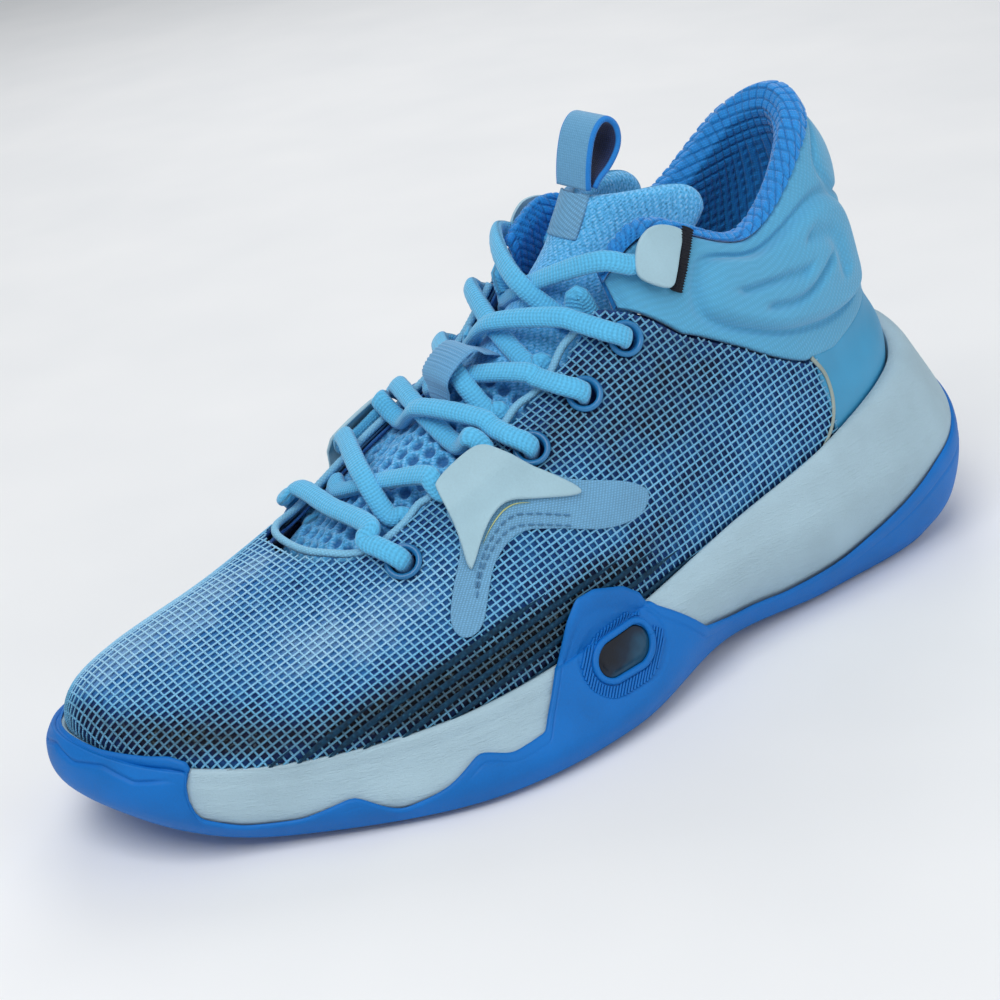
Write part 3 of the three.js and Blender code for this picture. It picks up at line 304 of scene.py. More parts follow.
def seal(soup, outer, inner, face, cloth=None):
    n = len(outer)
    edges = np.concatenate([face[:, [k, (k + 1) % face.shape[1]]] for k in range(face.shape[1])])
    key = edges[:, 0] * n + edges[:, 1]
    rim = edges[~np.isin(key, edges[:, 1] * n + edges[:, 0])]
    wall = np.stack([rim[:, 1], rim[:, 0], rim[:, 0] + n, rim[:, 1] + n], -1)
    both = None if cloth is None else np.concatenate([cloth.reshape(-1, 3), cloth.reshape(-1, 3)])
    soup.add(np.concatenate([outer, inner]), [face, face[:, ::-1] + n, wall], both)


def cord(soup, centre, up, half_width, half_height, sides=12, power=1.0, bump=None):
    """A cord along points. Cloth coordinates: mm along it, mm round it, angle round it."""
    centre = np.asarray(centre, float)
    ahead = unit(np.gradient(centre, axis=0))
    up = unit(up - (up * ahead).sum(-1, keepdims=True) * ahead)
    side = np.cross(ahead, up)
    angle = (np.arange(sides) + 0.5) * 2 * np.pi / sides
    ca, sa = np.cos(angle), np.sin(angle)
    ca, sa = np.sign(ca) * np.abs(ca) ** power, np.sign(sa) * np.abs(sa) ** power
    along = run_length(centre)
    wide = np.broadcast_to(np.asarray(half_width, float), (len(centre),))
    high = np.broadcast_to(np.asarray(half_height, float), (len(centre),))
    grow = 1.0 if bump is None else 1 + bump(along[:, None], angle[None, :])[..., None]
    ring = centre[:, None] + grow * (side[:, None] * (ca * wide[:, None])[..., None]
                                     + up[:, None] * (sa * high[:, None])[..., None])
    around = angle * (wide.mean() + high.mean()) / 2
    cloth = np.stack(np.broadcast_arrays(along[:, None], around[None], angle[None]), -1)
    r = np.arange(len(centre) - 1)
    i, j = np.meshgrid(r, np.arange(sides), indexing="ij")
    k = (j + 1) % sides
    corners = [i * sides + j, i * sides + k, (i + 1) * sides + k, (i + 1) * sides + j]
    face = np.stack(corners, -1).reshape(-1, 4)
    ends = [np.arange(sides)[::-1][None], (np.arange(sides) + (len(centre) - 1) * sides)[None]]
    soup.add(ring, [face, *ends], cloth)


def rounded(points, times=3, closed=True):
    """Corner cutting: each round moves the outline a quarter of the way along its edges."""
    p = np.asarray(points, float)
    for _ in range(times):
        q = np.roll(p, -1, 0) if closed else p[1:]
        a = p if closed else p[:-1]
        cut = np.stack([0.75 * a + 0.25 * q, 0.25 * a + 0.75 * q], 1).reshape(-1, p.shape[1])
        p = cut if closed else np.concatenate([p[:1], cut, p[-1:]])
    return p


def outline_distance(points, outline):
    a, b = outline, np.roll(outline, -1, 0)
    best = np.full(len(points), np.inf)
    for p, q in zip(a, b):
        d = q - p
        t = np.clip(((points - p) @ d) / max(d @ d, 1e-12), 0, 1)
        best = np.minimum(best, np.linalg.norm(points - p - t[:, None] * d, axis=1))
    return best


def inside(points, outline):
    x, y = points.T
    odd = np.zeros(len(points), bool)
    for (x0, y0), (x1, y1) in zip(outline, np.roll(outline, -1, 0)):
        cross = (y0 > y) != (y1 > y)
        odd ^= cross & (x < (x1 - x0) * (y - y0) / np.where(y1 == y0, 1e-12, y1 - y0) + x0)
    return odd


def patch(soup, outline, place, thickness, scale, spacing=1.0, edge=0.5, extra=None):
    """A sheet with an outline in the surface's two coordinates. place(a, b, offset) gives its points.
    scale is mm to one unit of each coordinate, and edge the radius its rim is rounded to."""
    scale = np.asarray(scale, float)
    flat = outline * scale
    step = np.linalg.norm(np.roll(flat, -1, 0) - flat, axis=1)
    border = []
    for p, q, d in zip(flat, np.roll(flat, -1, 0), step):
        n = max(1, int(round(d / (spacing * 0.8))))
        border += [p + (q - p) * k / n for k in range(n)]
    border = np.array(border)
    lo, hi = border.min(0), border.max(0)
    gx, gy = np.meshgrid(np.arange(lo[0], hi[0], spacing), np.arange(lo[1], hi[1], spacing))
    gx = gx + (np.arange(gx.shape[0]) % 2)[:, None] * spacing / 2
    grid = np.stack([gx.ravel(), gy.ravel()], -1)
    grid = grid[inside(grid, border)]
    rings = [edge * 0.35, edge, edge * 2]
    grid = grid[outline_distance(grid, border) > edge * 2 + spacing * 0.4]
    normal = np.roll(border, -1, 0) - np.roll(border, 1, 0)
    normal = unit(np.stack([-normal[:, 1], normal[:, 0]], -1))
    if not inside(border[:1] + normal[:1] * 0.05, border)[0]:
        normal = -normal
    inner = np.concatenate([border + normal * r for r in rings])
    inner = inner[inside(inner, border)]
    far = outline_distance(inner, border)
    inner = inner[far > edge * 0.3]
    points = np.concatenate([border, inner, grid])
    made, _, faces, *_ = delaunay_2d_cdt([Vector(p) for p in points], [], [list(range(len(border)))], 1, 1e-4)
    p2 = np.array([tuple(v) for v in made])
    face = np.array([f for f in faces if len(f) == 3], int)
    distance = outline_distance(p2, border)
    rise = round_rim(distance / edge)
    a, b = (p2 / scale).T
    top = thickness * (0.45 + 0.55 * rise)
    if extra is not None:
        top = top + extra(p2, distance) * rise
    cloth = np.stack([p2[:, 0], p2[:, 1], distance], -1)
    seal(soup, place(a, b, top), place(a, b, np.zeros(len(a))), face, cloth)


def arc_grid(points):
    """Mm along each of a grid's two directions, from its first row and column."""
    down = np.linalg.norm(np.diff(points, axis=0), axis=-1)
    over = np.linalg.norm(np.diff(points, axis=1), axis=-1)
    u = np.concatenate([np.zeros((1, points.shape[1])), np.cumsum(down, 0)])
    v = np.concatenate([np.zeros((points.shape[0], 1)), np.cumsum(over, 1)], 1)
    return u, v


def sheet_cloth(u, v, extra=0.0):
    """Cloth coordinates: mm along, mm across, and one more value for the material."""
    return np.stack(np.broadcast_arrays(u, v, extra), -1)


def run_length(points):
    """Mm along a line of points, from its first."""
    return np.concatenate([[0], np.cumsum(np.linalg.norm(np.diff(points, axis=0), axis=1))])


# ---------- materials ----------
class Look:
    """A procedural material, put together node by node."""

    def __init__(self, name, roughness=0.6, **sockets):
        self.material = bpy.data.materials.new(name)
        self.material.use_nodes = True
        self.tree = self.material.node_tree
        self.shader = self.tree.nodes["Principled BSDF"]
        self.shader.inputs["Roughness"].default_value = roughness
        for socket, value in sockets.items():
            self.shader.inputs[socket.replace("_", " ")].default_value = value

    def node(self, kind, inputs=None, **settings):
        made = self.tree.nodes.new("ShaderNode" + kind)
        for key, value in settings.items():
            setattr(made, key, value)
        for key, value in (inputs or {}).items():
            if isinstance(value, bpy.types.NodeSocket):
                self.tree.links.new(value, made.inputs[key])
            else:
                made.inputs[key].default_value = value
        return made

    def math(self, operation, a, b=0.0, c=0.0):
        return self.node("Math", {0: a, 1: b, 2: c}, operation=operation).outputs[0]

    def times(self, a, b):
        return self.math("MULTIPLY", a, b)

    def plus(self, a, b):
        return self.math("ADD", a, b)

    def minus(self, a, b):
        return self.math("SUBTRACT", a, b)

    def size(self, a):
        return self.math("ABSOLUTE", a)

    def object_mm(self):
        place = self.node("TexCoord").outputs["Object"]
        return self.node("VectorMath", {0: place, "Scale": 1000.0}, operation="SCALE").outputs[0]

    def cloth(self):
        return self.node("Attribute", attribute_name="cloth").outputs["Vector"]

    def split(self, vector):
        return self.node("SeparateXYZ", {0: vector}).outputs

    def noise(self, vector, scale, detail=3.0, roughness=0.55):
        return self.node("TexNoise", {"Vector": vector, "Scale": scale, "Detail": detail,
                                      "Roughness": roughness}).outputs["Fac"]

    def ramp(self, value, stops):
        made = self.node("ValToRGB", {"Fac": value})
        elements = made.color_ramp.elements
        while len(elements) < len(stops):
            elements.new(0.5)
        for element, (at, colour) in zip(elements, stops):
            element.position = at
            element.color = (*colour, 1.0)
        return made.outputs["Color"]

    def mix(self, share, a, b):
        made = self.node("Mix", {"Factor": share}, data_type="RGBA")
        for socket, value in ((6, a), (7, b)):
            if isinstance(value, bpy.types.NodeSocket):
                self.tree.links.new(value, made.inputs[socket])
            else:
                made.inputs[socket].default_value = (*value, 1.0)
        return made.outputs[2]

    def spread(self, value, low, high, to_low, to_high):
        return self.node("MapRange", {"Value": value, "From Min": low, "From Max": high,
                                      "To Min": to_low, "To Max": to_high}).outputs[0]

    def colour(self, socket):
        self.tree.links.new(socket, self.shader.inputs["Base Color"])
        return self

    def rough(self, socket):
        self.tree.links.new(socket, self.shader.inputs["Roughness"])
        return self

    def bump(self, height, millimetres, strength=1.0):
        made = self.node("Bump", {"Height": height, "Distance": millimetres * MM, "Strength": strength})
        before = self.shader.inputs["Normal"]
        if before.is_linked:
            self.tree.links.new(before.links[0].from_socket, made.inputs["Normal"])
        self.tree.links.new(made.outputs[0], before)
        return self

    def ridge(self, value, pitch):
        """A wave from 0 to 1 that repeats every pitch."""
        turn = self.times(value, 2 * math.pi / pitch)
        return self.math("MULTIPLY_ADD", self.math("SINE", turn), 0.5, 0.5)


def shade(colour, factor):
    return tuple(min(1.0, c * factor) for c in colour)


def cloth_look(name, colour, pitch=(1.0, 1.0), slant=0.0, depth=0.12, roughness=0.85, vary=0.16, sheen=0.25):
    """A woven or knitted fabric: two sets of ribs crossing at the slant, with uneven dye and fuzz."""
    look = Look(name, roughness, Sheen_Weight=sheen, Sheen_Roughness=0.5)
    x, y, _ = look.split(look.cloth())
    c, s = math.cos(math.radians(slant)), math.sin(math.radians(slant))
    a = look.plus(look.times(x, c), look.times(y, s))
    b = look.minus(look.times(y, c), look.times(x, s))
    weave = look.times(look.ridge(a, pitch[0]), look.ridge(b, pitch[1]))
    speck = look.noise(look.object_mm(), 1.6, 2.0)
    cloud = look.noise(look.object_mm(), 0.06, 3.0)
    tone = look.plus(look.times(weave, 0.45), look.times(speck, 0.35))
    tone = look.plus(tone, look.times(cloud, 0.25))
    look.colour(look.ramp(tone, [(0.12, shade(colour, 1 - 2.2 * vary)), (0.5, colour),
                                 (0.85, shade(colour, 1 + 1.6 * vary))]))
    look.rough(look.spread(speck, 0.3, 0.7, roughness - 0.08, min(1.0, roughness + 0.08)))
    look.bump(weave, depth).bump(speck, depth * 0.6, 0.7)
    return look


def moulded_look(name, colour, roughness, grain=2.2, depth=0.05, vary=0.08, wrinkle=0.0, **sockets):
    """Moulded rubber, foam or plastic: fine grain, soft tone changes and, on foam, wrinkles."""
    look = Look(name, roughness, **sockets)
    place = look.object_mm()
    fine, cloud = look.noise(place, grain, 3.0), look.noise(place, 0.05, 2.0)
    tone = look.plus(look.times(fine, 0.35), look.times(cloud, 0.65))
    look.colour(look.ramp(tone, [(0.3, shade(colour, 1 - 1.6 * vary)), (0.52, colour),
                                 (0.75, shade(colour, 1 + 1.3 * vary))]))
    look.rough(look.spread(fine, 0.3, 0.7, roughness - 0.06, roughness + 0.08))
    look.bump(fine, depth)
    if wrinkle:
        long = look.node("Mapping", {"Vector": place, "Scale": (0.05, 0.2, 0.42)}).outputs[0]
        folds = look.noise(long, 2.2, 4.0, 0.6)
        look.bump(look.size(look.minus(folds, 0.5)), wrinkle)
    return look


# ---------- looks ----------
ROYAL = (0.0, 0.15, 0.52)
FOAM = (0.38, 0.54, 0.63)
COLLAR = (0.08, 0.385, 0.64)
PANEL = (0.045, 0.32, 0.57)
LINING = (0.001, 0.27, 0.76)
LACE = (0.09, 0.49, 0.82)
WING = (0.355, 0.545, 0.635)
FUSED = (0.14, 0.37, 0.6)
KNIT = (0.09, 0.48, 0.88)
THREAD = (0.15, 0.5, 0.8)
TEAL = (0.001, 0.02, 0.045)
EYELET_BLUE = (0.015, 0.17, 0.4)

rubber = moulded_look("outsole_rubber", ROYAL, 0.55, grain=1.8, depth=0.06, vary=0.1,
                      Specular_IOR_Level=0.3).material
foam = moulded_look("midsole_foam", FOAM, 0.55, grain=2.6, depth=0.05, vary=0.06, wrinkle=0.5).material
panel_sheet = moulded_look("heel_panel_sheet", PANEL, 0.5, grain=2.4, depth=0.05, vary=0.07).material
wing_sheet = moulded_look("wing_sheet", WING, 0.62, grain=1.7, depth=0.07, vary=0.07).material
eyelet_plastic = moulded_look("eyelet_plastic", EYELET_BLUE, 0.32, grain=1.2, depth=0.02, vary=0.12).material
board = moulded_look("fibre_board", (0.6, 0.56, 0.48), 0.9, grain=1.1, depth=0.1, vary=0.15).material
plate = moulded_look("shank_plastic", (0.02, 0.022, 0.028), 0.4, grain=0.9, depth=0.03, vary=0.2).material
beige = moulded_look("trim_film", (0.33, 0.4, 0.36), 0.5, grain=1.5, depth=0.03, vary=0.12).material
aglet_film = moulded_look("aglet_film", (0.2, 0.46, 0.68), 0.25, grain=1.0, depth=0.02, vary=0.1).material
collar_cloth = cloth_look("collar_twill", COLLAR, (0.95, 1.9), 38, 0.08, 0.72, 0.08).material
fused_cloth = cloth_look("fused_film", FUSED, (0.6, 1.1), 64, 0.03, 0.62, 0.2, 0.1).material
webbing_cloth = cloth_look("loop_webbing", (0.12, 0.36, 0.62), (0.8, 0.8), 0, 0.06, 0.75, 0.12).material
piping_cloth = cloth_look("edge_piping", (0.2, 0.52, 0.76), (0.9, 0.9), 30, 0.1, 0.7, 0.12).material
bar_cloth = cloth_look("bar_thread", (0.002, 0.004, 0.012), (0.5, 1.2), 0, 0.12, 0.85, 0.3, 0.0).material
sock_cloth = cloth_look("sockliner_cloth", (0.02, 0.14, 0.42), (0.9, 0.9), 45, 0.1, 0.9, 0.2).material
stitch_cloth = cloth_look("stitching", (0.06, 0.22, 0.42), (0.4, 0.4), 40, 0.05, 0.8, 0.2).material
edge_film = moulded_look("cut_edge_film", (0.5, 0.55, 0.22), 0.5, grain=1.0, depth=0.02, vary=0.12).material


def lace_look():
    look = Look("lace_braid", 0.8, Sheen_Weight=0.3, Sheen_Roughness=0.5)
    along, around, angle = look.split(look.cloth())
    slope = look.size(look.math("SINE", look.times(angle, 1.0)))
    rib = look.ridge(look.plus(along, look.times(slope, 1.4)), 1.15)
    strand = look.ridge(around, 0.8)
    # Painted shade: seam is highest along the lace's two narrow edges, and these are drawn in a darker blue.
    seam = look.math("POWER", look.size(look.math("COSINE", angle)), 22.0)
    speck = look.noise(look.object_mm(), 1.8, 2.0)
    tone = look.plus(look.times(rib, 0.3),
                     look.plus(look.times(strand, 0.15), look.times(speck, 0.5)))
    base = look.ramp(tone, [(0.15, shade(LACE, 0.68)), (0.5, LACE), (0.85, shade(LACE, 1.2))])
    look.colour(look.mix(look.times(seam, 0.6), base, (0.03, 0.24, 0.5)))
    look.bump(look.times(rib, look.plus(strand, 0.4)), 0.14).bump(speck, 0.08)
    return look.material


def lining_look():
    look = Look("quilted_lining", 0.7, Sheen_Weight=0.4, Sheen_Roughness=0.45)
    x, y, seam = look.split(look.cloth())
    weave = look.times(look.ridge(x, 0.8), look.ridge(y, 0.8))
    speck = look.noise(look.object_mm(), 1.4, 2.0)
    tone = look.plus(look.times(weave, 0.3), look.times(speck, 0.5))
    base = look.ramp(tone, [(0.1, shade(LINING, 0.7)), (0.45, LINING), (0.8, (0.006, 0.34, 0.84))])
    # Painted shade: the quilting channels between the puffs are drawn in a darker copy of the lining colour.
    look.colour(look.mix(look.times(seam, 0.5), base, shade(LINING, 0.4)))
    return look.bump(weave, 0.08).material


def underlay_look():
    """Navy knit with sky-blue and pale blotches, and fine pale specks where the print is darkest."""
    look = Look("blotched_underlay", 0.85)
    place = look.object_mm()
    light = look.split(look.cloth())[2]
    patchy = look.noise(place, 0.16, 4.0, 0.65)
    tone = look.plus(look.times(light, 0.62), look.times(patchy, 0.5))
    base = look.ramp(tone, [(0.3, (0.0004, 0.003, 0.012)), (0.44, (0.0008, 0.012, 0.07)),
                            (0.56, (0.004, 0.06, 0.24)), (0.7, (0.03, 0.2, 0.5)), (0.84, (0.22, 0.42, 0.66))])
    speck = look.noise(place, 0.9, 2.0)
    share = look.spread(speck, 0.56, 0.66, 0.0, 0.5)
    dark = look.spread(light, 0.1, 0.3, 1.0, 0.0)
    look.colour(look.mix(look.times(share, dark), base, (0.2, 0.28, 0.3)))
    return look.bump(look.noise(place, 1.4, 2.0), 0.2).material


def thread_look():
    look = Look("net_thread", 0.6, Sheen_Weight=0.2)
    along, around, tint = look.split(look.cloth())
    twist = look.ridge(look.plus(along, around), 0.7)
    speck = look.noise(look.object_mm(), 0.35, 3.0)
    tone = look.plus(look.times(tint, 0.7), look.times(speck, 0.35))
    look.colour(look.ramp(tone, [(0.2, shade(THREAD, 0.2)), (0.38, shade(THREAD, 0.62)), (0.55, THREAD),
                                 (0.8, (0.36, 0.68, 0.92))]))
    return look.bump(twist, 0.1).material


def stripe_look():
    look = Look("fused_stripe", 0.6, Specular_IOR_Level=0.2)
    speck = look.noise(look.object_mm(), 0.9, 3.0)
    look.colour(look.ramp(speck, [(0.35, TEAL), (0.62, shade(TEAL, 2.2)), (0.78, (0.05, 0.15, 0.2))]))
    return look.bump(speck, 0.1).material


def loop_look():
    """Pale outside, navy inside, with a bright blue edge."""
    look = Look("pull_loop_webbing", 0.78, Sheen_Weight=0.2)
    along, across, side = look.split(look.cloth())
    weave = look.times(look.ridge(along, 0.7), look.ridge(across, 0.9))
    speck = look.noise(look.object_mm(), 1.6, 2.0)
    tone = look.plus(look.times(weave, 0.35), look.times(speck, 0.5))
    pale = look.ramp(tone, [(0.15, (0.09, 0.29, 0.5)), (0.5, (0.13, 0.39, 0.64)), (0.85, (0.2, 0.48, 0.72))])
    dark = look.ramp(tone, [(0.15, (0.001, 0.01, 0.07)), (0.8, (0.004, 0.05, 0.22))])
    faces = look.mix(look.spread(side, -0.2, 0.2, 0.0, 1.0), dark, pale)
    rim = look.spread(look.size(across), 6.8, 7.3, 0.0, 1.0)
    look.colour(look.mix(rim, faces, (0.003, 0.2, 0.62)))
    return look.bump(weave, 0.07).material


def lens_look():
    look = Look("window_lens", 0.2, Specular_IOR_Level=0.22)
    x, y, _ = look.split(look.cloth())
    slanted = look.plus(look.times(x, 0.05), look.times(y, -0.11))
    cloud = look.noise(look.object_mm(), 0.12, 2.0)
    tone = look.plus(slanted, cloud)
    look.colour(look.ramp(tone, [(0.1, (0.0005, 0.004, 0.012)), (0.55, (0.001, 0.014, 0.036)),
                                 (0.95, (0.008, 0.06, 0.12))]))
    return look.bump(cloud, 0.1).material


def dimple_tongue_look():
    """The tongue: light knit with fine slanting ribs, with painted shade in its dimples."""
    look = Look("tongue_spacer_knit", 0.85, Sheen_Weight=0.3)
    x, y, dimple = look.split(look.cloth())
    rib = look.ridge(look.plus(look.times(x, 0.75), look.times(y, 0.66)), 0.95)
    cross = look.ridge(look.minus(look.times(x, 0.5), look.times(y, 0.8)), 1.7)
    speck = look.noise(look.object_mm(), 1.3, 3.0)
    tone = look.plus(look.times(look.times(rib, cross), 0.22), look.times(speck, 0.85))
    base = look.ramp(tone, [(0.25, shade(KNIT, 0.45)), (0.5, KNIT), (0.75, (0.3, 0.62, 0.92))])
    # Painted shade: the dimples are drawn in a dark navy.
    look.colour(look.mix(look.times(dimple, 0.88), base, (0.004, 0.09, 0.28)))
    return look.bump(rib, 0.06).bump(speck, 0.22).material


lace_braid, lining_knit, underlay_knit = lace_look(), lining_look(), underlay_look()
net_thread, stripe_film, loop_webbing = thread_look(), stripe_look(), loop_look()
lens, tongue_knit = lens_look(), dimple_tongue_look()
SIDES = ("lateral", "medial")


def sole_wave(s):
    rows = np.where(np.mod(s, TURN) > TURN / 2, table(MEDIAL_WAVE, fold(s)), table(LATERAL_WAVE, fold(s)))
    return rows


# ---------- sole unit ----------
def sidewall(s, level, offset):
    low = sole.at(s, np.minimum(level, 3), offset)
    high = upper.at(s, np.maximum(level - 3, 0), np.asarray(offset) + 0.9)
    blend = smooth(2.8, 3.35, level)[..., None]
    return low * (1 - blend) + high * blend


# Stations of the sole's columns, closer together at the window.
fine = np.concatenate([np.linspace(a, b, count, endpoint=False) for a, b, count in (
    (0, 3.3, 130), (3.3, 4.9, 150), (4.9, 11.2, 170), (11.2, TURN, 150))])
sharp_wave = sole_wave(fine)
around_wave = np.concatenate([sharp_wave[-2:], sharp_wave, sharp_wave[:2]])
smooth_wave = np.convolve(around_wave, (0.1, 0.2, 0.4, 0.2, 0.1), "valid")
WINDOW = (4.0, 2.35)
WINDOW_STRAIGHT, WINDOW_ROUND = 4.2, 5.3
WRAP_FOOT, WRAP_RISE, WRAP_RISE_OVER = 0.5, 0.9, 1.4
window_at = sole.point(*WINDOW)
window_out = sole.normal(*WINDOW)
window_along = unit(sole.point(WINDOW[0] + 0.05, WINDOW[1]) - sole.point(WINDOW[0] - 0.05, WINDOW[1]))
window_rise = np.cross(window_out, window_along)


def window_ring(radius, count=96):
    """Points (along, rise) of the capsule a radius away from the window's straight middle."""
    angle = np.linspace(0, 2 * np.pi, count, endpoint=False)
    along = np.cos(angle) * radius + np.sign(np.cos(angle)) * WINDOW_STRAIGHT
    return np.stack([along, np.sin(angle) * radius], -1)


def window_distance(points):
    """Mm from the window's capsule outline, negative inside it."""
    d = points - window_at
    x, y, z = d @ window_along, d @ window_rise, d @ window_out
    x = np.maximum(np.abs(x) - WINDOW_STRAIGHT, 0)
    return np.where(np.abs(z) < 14, np.hypot(x, y) - WINDOW_ROUND, 40.0)


# Height of the sole's web over the floor: [x, z]. Tread pads: centre x and y, length and width.
WEB_HEIGHT = [[-150, 13], [-127, 8], [-103, 3.2], [-57, 2.2], [-8, 3], [39, 5.4], [84, 2.2], [132, 2.6],
              [150, 6]]
TREAD_PADS = ((-62, 2, 96, 84), (100, 0, 70, 54))
TREAD_PITCH, TREAD_DEPTH = 6.0, 1.4
GROUND_RUBBER = 3.4


def build_outsole():
    soup = Soup()
    rows = np.concatenate([np.linspace(0, 0.93, 72), [0.95, 0.97, 0.985, 1.0]])
    s = np.repeat(fine[:, None], len(rows), 1)
    level = 0.12 + (smooth_wave[:, None] - 0.12) * rows[None]
    base = sidewall(s, level, np.zeros_like(s))
    lateral = np.mod(s, TURN) < TURN / 2
    gap = np.where(lateral, window_distance(base), 40)
    to_edge = (smooth_wave[:, None] - level) * 11
    height = WRAP_FOOT + WRAP_RISE * round_rim(to_edge / WRAP_RISE_OVER)
    # A pressed line under the wave's edge, the window's recess, the border for its ribs, the toe's zigzag.
    height -= 0.35 * bell((to_edge - 3.2) / 0.35) * smooth(0.9, 1.6, level)
    height -= 1.5 * smooth(0.9, -0.2, gap)
    height -= 0.35 * smooth(1.2, 1.7, gap) * smooth(5.9, 5.4, gap) * smooth(1.4, 2.0, to_edge)
    toe = smooth(1.25, 1.0, fold(s)) * smooth(1.5, 1.8, level)
    zigzag = np.abs(np.mod(fold(s) * 3.4, 2) - 1)
    height -= 0.8 * toe * bell((level - 2.2 - 0.3 * zigzag) / 0.07)
    outer = sidewall(s, level, height)
    inner = sidewall(s, level, np.full_like(s, 0.3))
    low = sole.at(fine, 0, -2.0)
    low[:, 2] = sole.point(fine, 0)[:, 2]
    lip = sole.at(fine, np.zeros_like(fine), 0.6)
    edge = np.stack([low, 0.35 * low + 0.65 * lip + [0, 0, -0.1]], 1)
    floor_in = sole.at(fine, 0, -4.5)
    floor_in[:, 2] = low[:, 2] + GROUND_RUBBER
    ring = np.concatenate([edge, outer, inner[:, ::-1], floor_in[:, None]], 1)
    soup.add(ring, [quads(len(fine), ring.shape[1], True)])
    # Underside and top: each side drawn in to the sole's middle line.
    middle = ring[:, 0].copy()
    middle[:, 0] = np.clip(middle[:, 0], -134.0, 141.0)
    middle[:, 1] = middle_y(middle[:, 0])
    share = np.linspace(0, 1, 72)[None, :, None]
    web = ring[:, None, 0] * (1 - share) + middle[:, None] * share
    turn_in = smooth(0, 0.06, share[..., 0])
    web[..., 2] = table(WEB_HEIGHT, web[..., 0] + ORIGIN[0]) * turn_in + ring[:, None, 0, 2] * (1 - turn_in)
    px, py = web[..., 0] + ORIGIN[0], web[..., 1] + ORIGIN[1]
    for cx, cy, length, width in TREAD_PADS:
        inward = 1 - np.hypot((px - cx) / (length / 2), (py - cy) / (width / 2))
        inward = inward * min(length, width) / 2
        zigzag = np.abs(np.mod(py / TREAD_PITCH, 2) - 1) * TREAD_PITCH
        cut = np.abs(np.mod(px + zigzag, TREAD_PITCH) - TREAD_PITCH / 2)
        tread = TREAD_DEPTH * smooth(1.0, 0.5, cut)
        padded = web[..., 2] * smooth(0.0, -1.0, inward) + tread * smooth(0, 0.8, inward)
        web[..., 2] = np.where(inward > -1.0, padded, web[..., 2])
    soup.add(web, [quads(len(fine), 72, True)[:, ::-1]])
    top = ring[:, None, -1] * (1 - share[:, ::8]) + middle[:, None] * share[:, ::8]
    top[..., 2] = ring[:, None, -1, 2]
    soup.add(top, [quads(len(fine), top.shape[1], True)])
    weld(piece("outsole_rubber", soup, rubber, replaces=["outsole"]))


def weld(made, distance=0.02):
    bm = bmesh.new()
    bm.from_mesh(made.data)
    bmesh.ops.remove_doubles(bm, verts=bm.verts, dist=distance * MM)
    bmesh.ops.recalc_face_normals(bm, faces=bm.faces)
    bm.to_mesh(made.data)
    bm.free()


def build_lens():
    soup = Soup()

    def place(a, b, offset):
        return on_panel(np.stack([a, b], -1), np.asarray(offset) + 0.6)

    patch(soup, window_ring(WINDOW_ROUND - 0.1, 48), place, 0.5, (1, 1), 0.8, 0.6,
          lambda _, from_edge: 0.3 * smooth(0, 4.5, from_edge) + 0.25 * bell((from_edge - 2.2) / 0.35))
    piece("window_lens", soup, lens, replaces=["wing_window"])


def on_panel(spots, offset):
    """Points over the rubber at the window, from mm along and up the window's plane."""
    station, level = WINDOW
    step = 0.02
    across = sole.point(station + step, level) - sole.point(station - step, level)
    across = np.linalg.norm(across) / (2 * step)
    rise = (sole.point(station, level + step) - sole.point(station, level - step)) @ window_rise / (2 * step)
    return sidewall(station + spots[..., 0] / across, level + spots[..., 1] / rise, offset)


RIB_PITCH = 1.25


def build_window_frame():
    """The raised rim round the lens, and the slanting ribs outside it."""
    soup = Soup()
    spots = window_ring(WINDOW_ROUND + 0.75)
    spots = np.concatenate([spots, spots[:2]])
    facing = np.repeat(window_out[None], len(spots), 0)
    cord(soup, on_panel(spots, np.full(len(spots), 1.35)), facing, 1.0, 0.95, 12, 0.8)
    run = np.linspace(-14, 14, 180)
    for k in range(-16, 17):
        spots = np.stack([k * RIB_PITCH + run * 0.6, run * 0.8], -1)
        gap = np.hypot(np.maximum(np.abs(spots[:, 0]) - WINDOW_STRAIGHT, 0), spots[:, 1]) - WINDOW_ROUND
        level = WINDOW[1] + spots[:, 1] / 11
        keep = (gap > 2.0) & (gap < 5.2) & (level < sole_wave(WINDOW[0] + spots[:, 0] / 38) - 0.22)
        for bar in np.split(np.arange(len(run)), np.nonzero(np.diff(keep.astype(int)))[0] + 1):
            if keep[bar[0]] and len(bar) > 6:
                line = on_panel(spots[bar], np.full(len(bar), 1.2))
                cord(soup, line, np.repeat(window_out[None], len(bar), 0), 0.36, 0.5, 8)
    piece("window_frame", soup, rubber)


